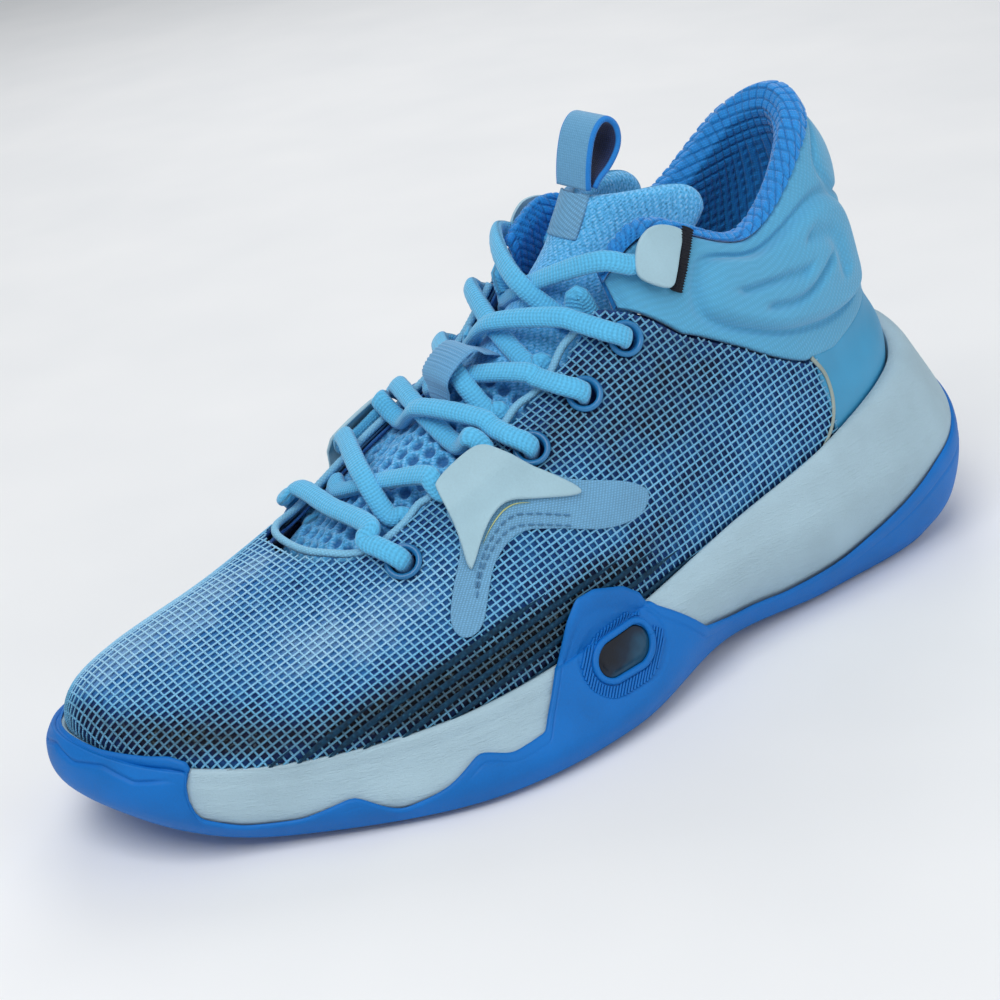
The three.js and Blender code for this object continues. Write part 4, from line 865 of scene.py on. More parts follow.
def build_midsole():
    soup = Soup()
    level = np.concatenate([np.linspace(0.35, 2.75, 22), np.linspace(2.8, 3.0, 6)])
    s = np.repeat(fine[:, None], len(level), 1)
    lv = np.repeat(level[None], len(fine), 0)
    offset = -0.25 - 1.2 * np.clip((lv - 2.8) / 0.2, 0, 1) ** 2
    f = fold(s)
    crease = 2.55 - 0.55 * (f - 4.3) / 3.7
    heel = smooth(4.2, 4.7, f)
    offset = offset + heel * (0.9 * np.exp(-np.abs(lv - crease) / 0.25) - 0.55 * smooth(0, 0.5, crease - lv))
    groove = smooth(1.2, 1.6, f) * smooth(4.2, 3.6, f)
    offset = offset - 0.35 * groove * bell((lv - 2.45) / 0.07)
    wall = sole.at(s, lv, offset)
    lip_places = ((0.03, 1.0), (0.0, 0.7), (-0.3, 0.7), (-0.98, 0.7))
    lip = [upper.at(fine, h, np.full(len(fine), o)) for h, o in lip_places]
    lip[0][:, 2] = np.maximum(lip[0][:, 2], wall[:, -1, 2] - 0.6)
    base = sole.at(fine, 0, -6)
    base[:, 2] = sole.point(fine, 0)[:, 2] + 3.75
    rings = np.concatenate([base[:, None], wall, np.stack(lip, 1)], 1)
    soup.add(rings, [quads(len(fine), rings.shape[1], True)])
    face = quads(len(fine), 3, True)
    for k, drop, order in ((-1, 3.6, -1), (0, 0.0, 1)):
        rim = rings[:, k]
        flat = np.stack([rim[:, 0] * 0.9, middle_y(rim[:, 0]), rim[:, 2]], -1)
        floor = np.stack([rim, (rim + flat) / 2, flat], 1) - [0, 0, drop]
        soup.add(floor, [face[:, ::order]])
    weld(piece("midsole_foam", soup, foam, replaces=["midsole"]))


build_outsole()
build_lens()
build_window_frame()
build_midsole()


# ---------- net upper ----------
def net_field(family, side_points):
    """How many threads of a family lie between a point and the origin, in the last's own coordinates."""
    x, y, z = np.moveaxis(side_points + ORIGIN, -1, 0)
    if family == 2:
        return 0.415 * x + 0.158 * z
    across = y - np.interp(x, CENTRE_LINE[:, 0], CENTRE_LINE[:, 1])
    return 0.399 * across - 0.372 * np.tanh(across / 12) * (z - 88.3 - 0.29 * x)


def contours(field, s, level):
    """Lines where the field is a whole number, as lists of [station, level], with that number."""
    rows, columns = field.shape
    cross = {}

    def scan(a, b, fa, fb, key):
        hit = np.floor(fa) != np.floor(fb)
        k = np.maximum(np.floor(fa), np.floor(fb))
        t = (k - fa) / np.where(fb == fa, 1, fb - fa)
        for i, j in zip(*np.nonzero(hit & np.isfinite(fa) & np.isfinite(fb))):
            cross[(key, i, j)] = (k[i, j], a[0][i, j] + t[i, j] * (b[0][i, j] - a[0][i, j]),
                                  a[1][i, j] + t[i, j] * (b[1][i, j] - a[1][i, j]))

    grid = (s, level)
    scan([g[:-1] for g in grid], [g[1:] for g in grid], field[:-1], field[1:], 0)
    scan([g[:, :-1] for g in grid], [g[:, 1:] for g in grid], field[:, :-1], field[:, 1:], 1)
    links = {}
    cells = {(i - d * (key == 1), j - d * (key == 0)) for key, i, j in cross for d in (0, 1)}
    for i, j in sorted(cells):
        if not (0 <= i < rows - 1 and 0 <= j < columns - 1):
            continue
        found = [e for e in ((0, i, j), (0, i, j + 1), (1, i, j), (1, i + 1, j)) if e in cross]
        by = {}
        for e in found:
            by.setdefault(cross[e][0], []).append(e)
        for ends in by.values():
            if len(ends) == 2:
                links.setdefault(ends[0], []).append(ends[1])
                links.setdefault(ends[1], []).append(ends[0])
    lines, seen = [], set()
    for start in sorted(links, key=lambda e: (len(links[e]), e)):
        if start in seen:
            continue
        chain, here = [start], start
        seen.add(start)
        while True:
            after = [e for e in links[here] if e not in seen]
            if not after:
                break
            here = after[0]
            seen.add(here)
            chain.append(here)
        if len(chain) > 2:
            lines.append((int(cross[start][0]), np.array([cross[e][1:] for e in chain])))
    return lines


def resample(points, extra, step):
    along = run_length(points)
    at = np.linspace(0, along[-1], max(3, int(round(along[-1] / step)) + 1))
    return [np.stack([np.interp(at, along, v[:, k]) for k in range(v.shape[1])], -1) for v in (points, extra)]


STRIPE_TOP = [[1.3, -0.3], [1.7, 0.25], [2.26, 0.75], [3.0, 1.25], [3.9, 1.2], [4.35, 0.7], [4.8, 0.0],
              [5, -0.3]]


def stripe_top(s):
    """Highest level of the dark fused stripes at a station."""
    return table(STRIPE_TOP, fold(s))


# Printed light and dark clouds: [station, level, width in stations, height in levels, strength].
CLOUDS = [
    [-1.0, 2.8, 1.3, 1.4, 0.5], [0.2, 3.0, 1.2, 1.5, 0.28], [-0.1, 1.5, 0.8, 0.6, 0.16],
    [1.0, 0.9, 1.3, 0.45, -0.36], [0.9, -0.1, 0.8, 0.3, -0.1], [1.9, 2.7, 0.7, 0.9, 0.26],
    [2.6, 2.2, 0.7, 0.7, 0.3], [2.2, 1.0, 0.35, 0.5, 0.14], [1.6, 0.1, 0.35, 0.35, 0.2],
    [2.7, 0.6, 0.9, 0.45, -0.32], [3.4, 1.3, 0.5, 0.5, 0.1], [3.6, 0.7, 0.9, 0.45, -0.34],
    [3.85, 2.2, 0.25, 0.4, 0.3], [4.25, 1.5, 0.3, 0.4, 0.26], [4.75, 0.4, 0.5, 0.5, 0.14],
    [4.6, 2.4, 1.1, 0.8, -0.16], [5.5, 1.0, 0.5, 1.0, 0.12], [1.5, 1.4, 0.4, 0.4, -0.1],
    [3.9, 3.2, 0.5, 0.5, -0.12]]


def print_light(s, level):
    """How light the print is at a place on the skin, 0 to 1. The medial clouds sit a little lower."""
    medial = s < 0
    station = np.abs(s) * np.where(medial, 1.04, 1)
    height = level + np.where(medial, 0.15, 0)
    total = np.full(np.shape(s), 0.46)
    for at_s, at_level, wide, high, strength in CLOUDS:
        total = total + strength * bell((station - at_s) / wide) * bell((height - at_level) / high)
    return np.clip(total, 0.02, 1)


def eyelet_clear(s, level, side, radius=4.4):
    here = upper.point(s, level)
    clear = np.ones(here.shape[:-1], bool)
    for row in EYELET_ROWS.values():
        centre = upper.point(on_side(side, row[0]), row[1])
        clear &= np.linalg.norm(here - centre, axis=-1) > radius
    return clear


def build_net():
    net = {side: Soup() for side in SIDES}
    stripes = {side: Soup() for side in SIDES}
    s_axis, l_axis = np.linspace(-6.16, 6.16, 560), np.linspace(-0.25, 3.93, 84)
    s, level = np.meshgrid(s_axis, l_axis, indexing="ij")
    points = upper.point(s, level)
    outside = level > quarter_top(s) + 0.02
    for side in SIDES:
        mine = (s < 0) if side == "medial" else (s >= 0)
        outside |= mine & ~eyelet_clear(s, level, side)
    for family in (1, 2):
        field = net_field(family, points)
        field[outside] = np.nan
        for number, line in contours(field, s, level):
            place, line = resample(upper.point(line[:, 0], line[:, 1]), line, 2.3)
            side = "medial" if line[:, 0].mean() < 0 else "lateral"
            lift = 0.02 if family == 1 else -0.16
            normal = upper.normal(line[:, 0], line[:, 1])
            cord(net[side], place + normal * lift, normal, 0.31, 0.26, 5)
            tints = np.repeat(print_light(line[:, 0], line[:, 1]), 5)
            net[side].cloth[-1][:len(tints), 2] = tints
            if family == 1 and number % 2 == 0:
                dark = line[:, 1] < stripe_top(line[:, 0])
                cuts = np.flatnonzero(np.diff(np.concatenate([[False], dark, [False]]).astype(int)))
                for a, b in zip(cuts[::2], cuts[1::2]):
                    if b - a < 4:
                        continue
                    t = np.linspace(0, 1, b - a)
                    wide = 1.0 * np.clip(np.minimum(t, 1 - t) * (b - a) / 5, 0.12, 1)
                    cord(stripes[side], place[a:b] + normal[a:b] * 0.42, normal[a:b], wide, 0.2, 6)
    for side in SIDES:
        piece(f"net_{side}", net[side], net_thread, replaces=["mesh_upper"])
        piece(f"fused_stripes_{side}", stripes[side], stripe_film)


def band(s, level, outer, inner):
    return upper.at(s, level, outer), upper.at(s, level, inner)


def build_underlay():
    s_axis = np.linspace(-6.2, 6.2, 250)
    s = np.repeat(s_axis[:, None], 44, 1)
    v = np.linspace(0, 1, 44)[None]
    level = -0.3 + (quarter_top(s) - 0.02 + 0.3) * v
    middle_s = (s[1:, 1:] + s[:-1, :-1]) / 2
    middle_l = (level[1:, 1:] + level[:-1, :-1]) / 2
    clear = {side: eyelet_clear(middle_s, middle_l, side, 4.3) for side in SIDES}
    keep = np.where(middle_s < 0, clear["medial"], clear["lateral"])
    outer, inner = band(s, level, np.full_like(s, -0.75), np.full_like(s, -1.4))
    u, w = arc_grid(outer)
    soup = Soup()
    shell(soup, outer, inner, keep=keep, cloth=np.stack([u, w, print_light(s, level)], -1))
    piece("upper_underlay", soup, underlay_knit)
    s_axis = np.linspace(0, TURN, 260, endpoint=False)
    s = np.repeat(s_axis[:, None], 40, 1)
    top = np.where(fold(s) < TOE_LIMIT, quarter_top(s), 1.05)
    level = -1 + (top + 1) * np.linspace(0, 1, 40)[None]
    outer, inner = band(s, level, np.full_like(s, -2.95), np.full_like(s, -3.6))
    middle_l = (level[:, 1:] + level[:, :-1]) / 2
    clear = {side: eyelet_clear(s[:, :-1], middle_l, side, 4.6) for side in SIDES}
    keep = np.where(s[:, :-1] > TURN / 2 - 0.03, clear["medial"], clear["lateral"])
    u, w = arc_grid(outer)
    soup = Soup()
    shell(soup, outer, inner, closed=True, keep=keep, cloth=sheet_cloth(u, w))
    piece("bootie_inner", soup, sock_cloth, replaces=["bootie_lining"])


build_net()
build_underlay()


# ---------- heel panel, collar, lining ----------
def build_heel_panel():
    s = np.repeat(np.linspace(TOE_LIMIT + 0.02, TURN - TOE_LIMIT - 0.02, 120)[:, None], 40, 1)
    level = -0.25 + (collar_seam(s) + 0.05 + 0.25) * np.linspace(0, 1, 40)[None]
    outer, inner = band(s, level, np.full_like(s, -0.05), np.full_like(s, -0.85))
    u, w = arc_grid(outer)
    soup = Soup()
    shell(soup, outer, inner, cloth=sheet_cloth(u, w))
    piece("heel_panel_sheet", soup, panel_sheet, replaces=["heel_panel"])
    edge = [[5.95, -0.08], [6.1, 0.1], [6.17, 0.4], [6.2, 0.7], [6.2, 1.0], [6.1, 1.4]]
    edge = rounded(edge, 3, closed=False)
    for side in SIDES:
        t = np.linspace(0, len(edge) - 1, 60)
        es, el = (np.interp(t, range(len(edge)), edge[:, k]) for k in (0, 1))
        es = on_side(side, es)
        soup = Soup()
        cord(soup, upper.at(es, el, np.full(60, 0.15)), upper.normal(es, el), 0.75, 0.38, 10)
        piece(f"panel_edge_{side}", soup, beige, replaces=[f"panel_edge_trim_{side}"])


COLLAR_MM = np.array([19.0, 22.0])  # about how far one station and one level reach on the collar
SIDE_PAD = [[5.5, 3.6], [5.3, 3.25], [5.2, 2.85], [5.35, 2.62], [5.7, 2.36], [6.1, 2.02], [6.45, 1.68],
            [6.8, 1.5], [7.1, 1.62], [7.16, 2.1], [7.1, 2.7], [6.85, 3.15], [6.5, 3.45], [6.0, 3.62]]
REAR_PAD = [[7.35, 1.5], [8.65, 1.5], [8.65, 2.4], [7.35, 2.4]]
HIGH_PAD = [[6.95, 3.3], [7.3, 2.65], [8.7, 2.65], [8.7, 3.62], [7.1, 3.7]]
CHANNELS = [[[5.62, 3.02], [5.95, 3.08], [6.25, 2.78]], [[5.82, 2.66], [6.2, 2.42], [6.55, 2.5]],
            [[6.45, 3.1], [6.7, 2.72], [6.72, 2.1]]]


def emboss(f, level, outline, height, soft=4.0):
    """A puffed form: it swells from its outline inwards, with a stitched-down line round it."""
    outline = rounded(outline, 3) * COLLAR_MM
    spot = np.stack([f, level], -1).reshape(-1, 2) * COLLAR_MM
    d = (outline_distance(spot, outline) * np.where(inside(spot, outline), 1, -1)).reshape(f.shape)
    return height * np.sqrt(smooth(-0.4, soft, d)) - 1.2 * bell(d + 0.9)


def channel(f, level, path):
    """A pressed line along a path, as the depth in mm."""
    path = rounded(path, 2, closed=False) * COLLAR_MM
    spot = np.stack([f, level], -1)[..., None, :] * COLLAR_MM
    a, b = path[:-1], path[1:]
    run = np.clip(((spot - a) * (b - a)).sum(-1) / ((b - a) ** 2).sum(-1), 0, 1)
    d = np.linalg.norm(spot - a - run[..., None] * (b - a), axis=-1).min(-1)
    return 2.0 * bell(d / 1.5)


def collar_height(s, level):
    """How far the pads stand proud: one on each side crossed by pressed lines, and two at the rear."""
    f = fold(s)
    rear = np.where(s > TURN / 2, TURN - f, f)
    swell = emboss(f, level, SIDE_PAD, 3.3, 3.2)
    swell = swell + emboss(rear, level, REAR_PAD, 3.0) + emboss(rear, level, HIGH_PAD, 1.5, 9.0)
    return swell - sum(channel(f, level, path) for path in CHANNELS)


def build_collar():
    columns, rows = 420, 110
    s = np.repeat(np.linspace(4.64, TURN - 4.64, columns)[:, None], rows, 1)
    v = np.linspace(0, 1, rows)[None]
    seam = collar_seam(s)
    level = seam + (3.92 - seam) * v
    rim = round_rim(v / 0.05) * round_rim((1 - v) / 0.05)
    front = smooth(4.64, 4.74, fold(s))
    swell = collar_height(s, level) + 0.7 * np.sin(np.pi * v) * smooth(4.64, 5.0, fold(s))
    outer, inner = band(s, level, (rim * front) * (0.25 + swell) - (1 - rim) * 0.9 - (1 - front) * 1.0,
                        -0.45 * collar_thickness(s))
    keep = np.ones((columns - 1, rows - 1), bool)
    for side in SIDES:
        hole = upper.point(on_side(side, TAB_HOLE[0]), TAB_HOLE[1])
        middle = (outer[1:, 1:] + outer[:-1, :-1]) / 2
        keep &= np.linalg.norm(middle - hole, axis=-1) > 4.5
    u, w = arc_grid(outer)
    soup = Soup()
    shell(soup, outer, inner, keep=keep, cloth=sheet_cloth(u, w))
    made = piece("collar_padding", soup, collar_cloth, replaces=["collar_pad"])


def build_lining():
    columns = 560
    s = np.linspace(4.62, TURN - 4.62, columns)
    deep = collar_thickness(s)
    low = np.maximum(collar_seam(s) + 0.1, 1.2)
    roll = 0.9 + 1.1 * smooth(5.6, 7.0, fold(s))
    same = np.ones_like(s)
    stops = [(-deep, low), (-deep, (low + 3.6) / 2), (-deep, 3.55 * same), (-deep + 0.5, 3.95 * same),
             (-deep / 2, 4.1 + 0.02 * roll), (-0.4 * same, 4.06 * same), (0.35 * same, 3.98 - 0.05 * roll)]
    key = np.linspace(0, 1, len(stops))
    t = np.linspace(0, 1, 140)
    offset = np.stack([np.interp(t, key, [o[k] for o, _ in stops]) for k in range(columns)])
    level = np.stack([np.interp(t, key, [l[k] for _, l in stops]) for k in range(columns)])
    window = np.hanning(11)
    window = window / window.sum()
    offset, level = (np.stack([np.convolve(np.pad(row, 5, mode="edge"), window, "valid") for row in grid])
                     for grid in (offset, level))
    base = upper.at(np.repeat(s[:, None], len(t), 1), level, offset)
    n = unit(np.cross(np.gradient(base, axis=0), np.gradient(base, axis=1)))
    middle = base.mean(axis=(0, 1)) * [1, 1, 0] + [0, 0, 90]
    if (n[:, :40] * (middle - base[:, :40])).sum() < 0:
        n = -n
    u, w = arc_grid(base)
    u = np.repeat(u[:, 40:41], len(t), 1)
    cell_u, cell_w = (np.abs(np.mod(v, pitch) - pitch / 2) for v, pitch in ((u, 3.1), (w, 3.0)))
    far = np.hypot(np.maximum(cell_u - 0.7, 0), np.maximum(cell_w - 0.65, 0))
    seam = smooth(0.4, 0.85, far)
    bulge = 0.6 * (1 - seam) * smooth(0, 0.3, 1 - seam)
    outer = base + n * (bulge[..., None] + 0.1)
    inner = base - n * 0.75
    soup = Soup()
    # The third cloth value marks the quilting channels, where the lining material paints shade.
    shell(soup, outer, inner, cloth=np.stack([u, w, seam], -1))
    made = piece("collar_quilting", soup, lining_knit, replaces=["collar_lining"])


build_heel_panel()
build_collar()
build_lining()


# ---------- throat edge and patches ----------
def build_piping():
    t = np.linspace(-4.42, 4.42, 700)
    scallop = 0.0
    for row in EYELET_ROWS.values():
        scallop = scallop + 0.1 * bell((np.abs(t) - row[0]) / 0.12)
    level = 3.92 + scallop
    soup = Soup()
    cord(soup, upper.at(t, level, np.full_like(t, -0.75)), upper.normal(t, level), 1.15, 1.15, 12,
         bump=lambda along, angle: 0.05 * np.sin(along * 2 * np.pi / 1.3 + 2 * angle))
    piece("throat_cord", soup, piping_cloth, replaces=["throat_piping"])


BASE_OUTLINE = [[2.93, 3.5], [3.12, 2.75], [3.05, 2.1], [3.02, 1.6], [3.1, 1.25], [3.22, 1.28], [3.27, 1.7],
                [3.33, 2.15], [3.5, 2.32], [3.75, 1.95], [3.95, 1.62], [4.12, 1.4], [4.32, 1.24],
                [4.42, 1.42], [4.3, 1.75], [4.08, 2.12], [3.9, 2.38], [3.66, 2.95], [3.45, 3.35], [3.2, 3.7]]
WING_OUTLINE = [[2.9, 3.8], [2.93, 3.66], [3.03, 3.15], [3.1, 2.7], [3.165, 2.2], [3.2, 2.3], [3.25, 2.56],
                [3.33, 2.76], [3.45, 2.8], [3.62, 2.55], [3.92, 2.14], [3.95, 2.2], [3.8, 2.6],
                [3.62, 3.04], [3.5, 3.4], [3.38, 3.72], [3.26, 3.86], [3.04, 3.88]]
WING_LIFT = [[2.1, 0.75], [2.6, 1.1], [2.9, 2.0], [3.2, 4.7], [3.6, 5.6], [4.1, 5.4]]
ARC = [[3.2, 1.95], [3.24, 2.3], [3.33, 2.52], [3.46, 2.6], [3.62, 2.38], [3.86, 1.98]]
TAB_OUTLINE = [[5.0, 3.27], [4.93, 3.34], [4.86, 3.48], [4.815, 3.62], [4.83, 3.74], [4.87, 3.84],
               [4.92, 3.93], [5.0, 3.99], [5.1, 4.01], [5.22, 4.0], [5.37, 3.97], [5.3, 3.78], [5.19, 3.58],
               [5.08, 3.38]]
TAB_LIFT = [[5.0, 4.4], [5.14, 3.2], [5.32, 1.1]]
TAB_BAR = np.array([[5.41, 3.99], [5.29, 3.68], [5.17, 3.42], [5.05, 3.2]])


def stitches(soup, s, level, offset, length=1.7, gap=1.0, radius=0.22):
    """A row of stitches that lies along a line on the skin."""
    line = np.stack([s, level], -1)
    place, line = resample(upper.point(line[:, 0], line[:, 1]), line, 0.3)
    per, skip = int(round(length / 0.3)), int(round((length + gap) / 0.3))
    for a in range(0, len(place) - per, skip):
        part = line[a:a + per + 1]
        hump = np.sin(np.linspace(0, np.pi, len(part))) * 0.18
        normal = upper.normal(part[:, 0], part[:, 1])
        cord(soup, upper.at(part[:, 0], part[:, 1], offset + hump), normal, radius, radius, 6)


def build_side(side):
    def skin_place(lift):
        def place(a, b, offset):
            rise = table(lift, b) if isinstance(lift, list) else lift
            return upper.at(on_side(side, a), b, offset + rise)
        return place

    soup = Soup()
    patch(soup, rounded(BASE_OUTLINE, 2), skin_place(0.34), 0.42, (48, 20), 1.3, 0.35)
    piece(f"wing_base_patch_{side}", soup, fused_cloth, replaces=[f"wing_base_{side}"])
    soup = Soup()
    patch(soup, rounded(WING_OUTLINE, 2), skin_place(WING_LIFT), 1.15, (48, 20), 1.1, 0.5)
    piece(f"lace_wing_sheet_{side}", soup, wing_sheet, replaces=[f"lace_wing_{side}"])
    soup, edge = Soup(), Soup()
    arc, _ = resample(rounded(ARC, 3, closed=False) * [48, 20], rounded(ARC, 3, closed=False), 0.5)
    t = np.linspace(0, 1, 80)
    s, level = (np.interp(t, np.linspace(0, 1, len(arc)), arc[:, k]) / (48, 20)[k] for k in (0, 1))
    s = on_side(side, s)
    for shift in (-0.02, -0.17):
        stitches(soup, s, level + shift, 0.95)
    s, level = s[16:52], level[16:52]
    taper = np.sin(np.linspace(0.1, np.pi - 0.1, len(s)))
    cord(edge, upper.at(s, level + 0.13, np.ones(len(s))), upper.normal(s, level), 0.22 * taper, 0.2, 6)
    piece(f"wing_stitches_{side}", soup, stitch_cloth)
    piece(f"wing_edge_{side}", edge, edge_film)
    soup = Soup()

    def tab_place(a, b, offset):
        return upper.at(on_side(side, a), b, offset + table(TAB_LIFT, a))

    patch(soup, rounded(TAB_OUTLINE, 2), tab_place, 1.1, (48, 26), 1.0, 0.45)
    piece(f"top_tab_sheet_{side}", soup, wing_sheet, replaces=[f"top_tab_{side}"])
    t = np.linspace(0, 3, 160)
    s, level = (np.interp(t, range(4), TAB_BAR[:, k]) for k in (0, 1))
    s = on_side(side, s)
    soup = Soup()
    cord(soup, upper.at(s, level, np.full(160, 1.95)), upper.normal(s, level), 2.0, 0.75, 14,
         bump=lambda along, angle: 0.12 * np.sin(along * 2 * np.pi / 0.8))
    piece(f"bar_tack_{side}", soup, bar_cloth, replaces=[f"tab_bar_{side}"])


# A ring's half section: [radius, height over the skin].
EYELET_PROFILE = [[3.5, -3.6], [4.0, -3.9], [4.1, -1.5], [4.3, 0.1], [5.15, 0.2], [5.35, 0.55], [5.1, 1.05],
                  [4.6, 1.3], [4.0, 1.15], [3.6, 0.7], [3.5, 0.0]]


def build_eyelets():
    profile = rounded(EYELET_PROFILE, 2)
    turns, around = 56, len(profile)
    angle = np.linspace(0, 2 * np.pi, turns, endpoint=False)[:, None, None]
    i, j = np.meshgrid(np.arange(turns), np.arange(around), indexing="ij")
    i_next, j_next = (i + 1) % turns, (j + 1) % around
    corners = [i * around + j, i_next * around + j, i_next * around + j_next, i * around + j_next]
    face = np.stack(corners, -1).reshape(-1, 4)
    for side in SIDES:
        for row, (s, level) in EYELET_ROWS.items():
            s = on_side(side, s)
            n, centre = upper.normal(s, level), upper.point(s, level)
            a = unit(np.cross(n, [0, 0, 1.0]))
            b = np.cross(n, a)
            outward = np.cos(angle) * a + np.sin(angle) * b
            ring = outward * profile[None, :, :1] + n * profile[None, :, 1:] + centre
            soup = Soup()
            soup.add(ring, [face])
            name = f"eyelet_ring_{side}_{row}"
            piece(name, soup, eyelet_plastic, replaces=[f"eyelet_{side}_{row}"])


build_piping()
for side in SIDES:
    build_side(side)
build_eyelets()


# ---------- tongue and pull loop ----------
TONGUE_TOP = 7.0
DIMPLE_PITCH = 5.2
PATCH_OUTLINE = np.array([[5.42, -0.24], [5.42, 0.24], [6.98, 0.24], [6.98, -0.24]])
LOOP_HALF_WIDTH = 7.8


def build_tongue():
    rows, columns = 300, 116
    share = np.repeat(np.linspace(0, 1, rows)[:, None], columns, 1)
    across = np.repeat(np.linspace(-1, 1, columns)[None], rows, 0)
    round_off = 1 - np.sqrt(1 - np.clip((np.abs(across) - 0.62) / 0.39, 0, 1) ** 2)
    t = share * (TONGUE_TOP - 1.05 * round_off)
    w = across * (1 + 0.1 * smooth(5.0, 6.4, t) + 0.16 * smooth(4.4, 3.8, t))
    base, n = tongue_point(t, w), tongue_normal(t, w)
    spread = smooth(0.45, 1.0, np.abs(w)) * smooth(4.5, 3.6, t) * smooth(0.0, 0.6, t)
    base = base - (base - tongue_point(t, 0 * w)) * np.array([0.5, 0, 0.5]) * spread[..., None]
    base[..., 1] += np.sign(w) * 5.5 * spread
    u, v = arc_grid(base)
    u = np.repeat(u[:, columns // 2][:, None], columns, 1)
    v = v - v[:, columns // 2][:, None]
    row_pitch = DIMPLE_PITCH * 0.87
    row = np.floor(u / row_pitch)
    shift = 0.5 * np.mod(row, 2)
    along = (row + 0.5) * row_pitch
    across_at = (np.floor(v / DIMPLE_PITCH - shift) + 0.5 + shift) * DIMPLE_PITCH
    hole = np.hypot(u - along, v - across_at)
    dimpled = smooth(3.45, 3.2, t) * smooth(0.92, 0.84, np.abs(w))
    dimple = smooth(2.05, 1.4, hole) * dimpled
    lane = 1 - 0.7 * bell((np.abs(w) - 0.86) / 0.03)
    edge = np.minimum(np.minimum((1 - np.abs(across)) * 26, (1 - share) * 60), t * 14)
    rim = round_rim(edge / 2.4)
    crown = 0.9 * np.cos(w * np.pi / 2) * smooth(0, 1, t) + 0.5 * np.sin(t * 2.6) ** 2
    rise = (-2.6 + 2.6 * rim) + rim * (crown * lane * 0.6) - 1.5 * dimple
    thickness = 5.5 + 1.5 * smooth(5.0, 5.6, t)
    outer = base + n * rise[..., None]
    inner = base - n * (thickness * (0.35 + 0.65 * rim))[..., None]
    soup = Soup()
    # The third cloth value is the dimple depth, which the tongue material also uses to paint shade in the
    # dimples.
    shell(soup, outer, inner, cloth=np.stack([u, v, dimple], -1))
    made = piece("tongue_cushion", soup, tongue_knit, body=None, replaces=["tongue_pad", "tongue_top"])
    a, b = tongue_point(4.95, 0.0), tongue_point(5.75, 0.0)
    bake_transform(made)


def build_tongue_patch():
    soup = Soup()
    sides = zip(PATCH_OUTLINE, np.roll(PATCH_OUTLINE, -1, 0))
    outline = rounded([p + (q - p) * share for p, q in sides for share in (0, 1 / 8, 1 / 2, 7 / 8)], 2)

    def place(a, b, offset):
        return tongue_point(a, b) + tongue_normal(a, b) * (np.asarray(offset)[:, None] + 0.55)

    def pressed_border(_, from_edge):
        return -0.25 * bell((from_edge - 2.2) / 0.3)

    patch(soup, outline, place, 0.8, (8.5, 28), 0.7, 0.4, pressed_border)
    piece("tongue_patch_sheet", soup, fused_cloth, body="tongue_flap", replaces=["tongue_patch"])


def build_loop():
    path = np.array(LOOP_PATH, float)
    closed = rounded(path, 3, closed=False)
    steps, _ = resample(closed, closed, 0.7)
    ahead = unit(np.gradient(steps, axis=0))
    out = np.stack([-ahead[:, 1], ahead[:, 0]], -1)
    middle = steps.mean(0)
    if ((steps - middle) * out).sum() < 0:
        out = -out
    across = np.linspace(-LOOP_HALF_WIDTH, LOOP_HALF_WIDTH, 44)
    rim = round_rim((LOOP_HALF_WIDTH - np.abs(across)) / 0.7)
    faces = []
    for sign in (1, -1):
        half = 0.25 + 0.65 * rim
        centre = steps[:, None] + sign * out[:, None] * half[None, :, None]
        y = np.broadcast_to(across[None] + LOOP_CENTRE_Y - ORIGIN[1], centre.shape[:2])
        faces.append(np.stack([centre[..., 0] - ORIGIN[0], y, centre[..., 1]], -1))
    along = run_length(steps)
    u, v = np.meshgrid(along, across, indexing="ij")
    soup = Soup()
    seal(soup, faces[0].reshape(-1, 3), faces[1].reshape(-1, 3), quads(*u.shape))
    cloth = np.concatenate([np.stack([u, v, u * 0 + k], -1).reshape(-1, 3) for k in (1, -1)])
    soup.cloth = [cloth]
    piece("pull_loop_strap", soup, loop_webbing, body="pull_loop", replaces=["pull_loop"])


build_tongue()
build_tongue_patch()
build_loop()


# ---------- lace ----------
LACE_LIFT, LACE_THICKNESS, LACE_WIDTH = 2.3, 3.4, 5.8
OVER_EDGE = {1: 1.8, 2: 2.78, 3: 3.42, 4: 3.88, 5: 4.3}
UNDER_EDGE = {1: 2.26, 2: 3.24, 3: 3.57, 4: 4.0, 5: 4.42}
TONGUE_BY_THROAT = [[1.6, 0.88], [2, 1.1], [2.6, 1.62], [3, 2.05], [3.6, 2.9], [4.2, 3.84], [4.6, 4.5],
                    [4.8, 4.9]]
WING_TURN = [(OVER_EDGE[2], 4.16), (2.83, 4.02), (2.92, 3.76), (3.04, 3.53), (3.17, 3.43), (3.31, 3.5),
             (3.37, 3.73), (3.3, 4.02), (UNDER_EDGE[2], 4.16)]
TAB_APPROACH = [(4.68, 4.1), (4.82, 3.8)]
CENTRE_LIFT = {"medial": LACE_LIFT + 0.6, "lateral": LACE_LIFT + LACE_THICKNESS + 1.1}
LACE_ABOVE, LACE_BELOW = 3.5, -6.7
COLLAR_FRONT_THICKNESS = 4.4


def on_skin(side, s, level, offset):
    s = on_side(side, s)
    return upper.at(s, level, offset), upper.normal(s, level)


def on_tongue(t, w, lift):
    return tongue_point(t, w, -lift), unit(tongue_point(t, w, -1) - tongue_point(t, w, 0))


def through_hole(side, s, level, above, below, start):
    centre, normal = upper.point(on_side(side, s), level), upper.normal(on_side(side, s), level)
    throat = upper.point(on_side(side, start[0]), start[1]) - centre
    throat = unit(throat - throat @ normal * normal)
    turn = [(6.2, above + 0.1, 90), (2.6, above - 0.2, 70), (0.4, above - 1.7, 25), (0, 0, 0),
            (0.2, below + 2.1, -20), (1.9, below + 0.3, -65), (5, below - 0.1, -90)]
    return [(centre + throat * towards + normal * offset,
             -throat * math.cos(math.radians(tilt)) + normal * math.sin(math.radians(tilt)))
            for towards, offset, tilt in turn]


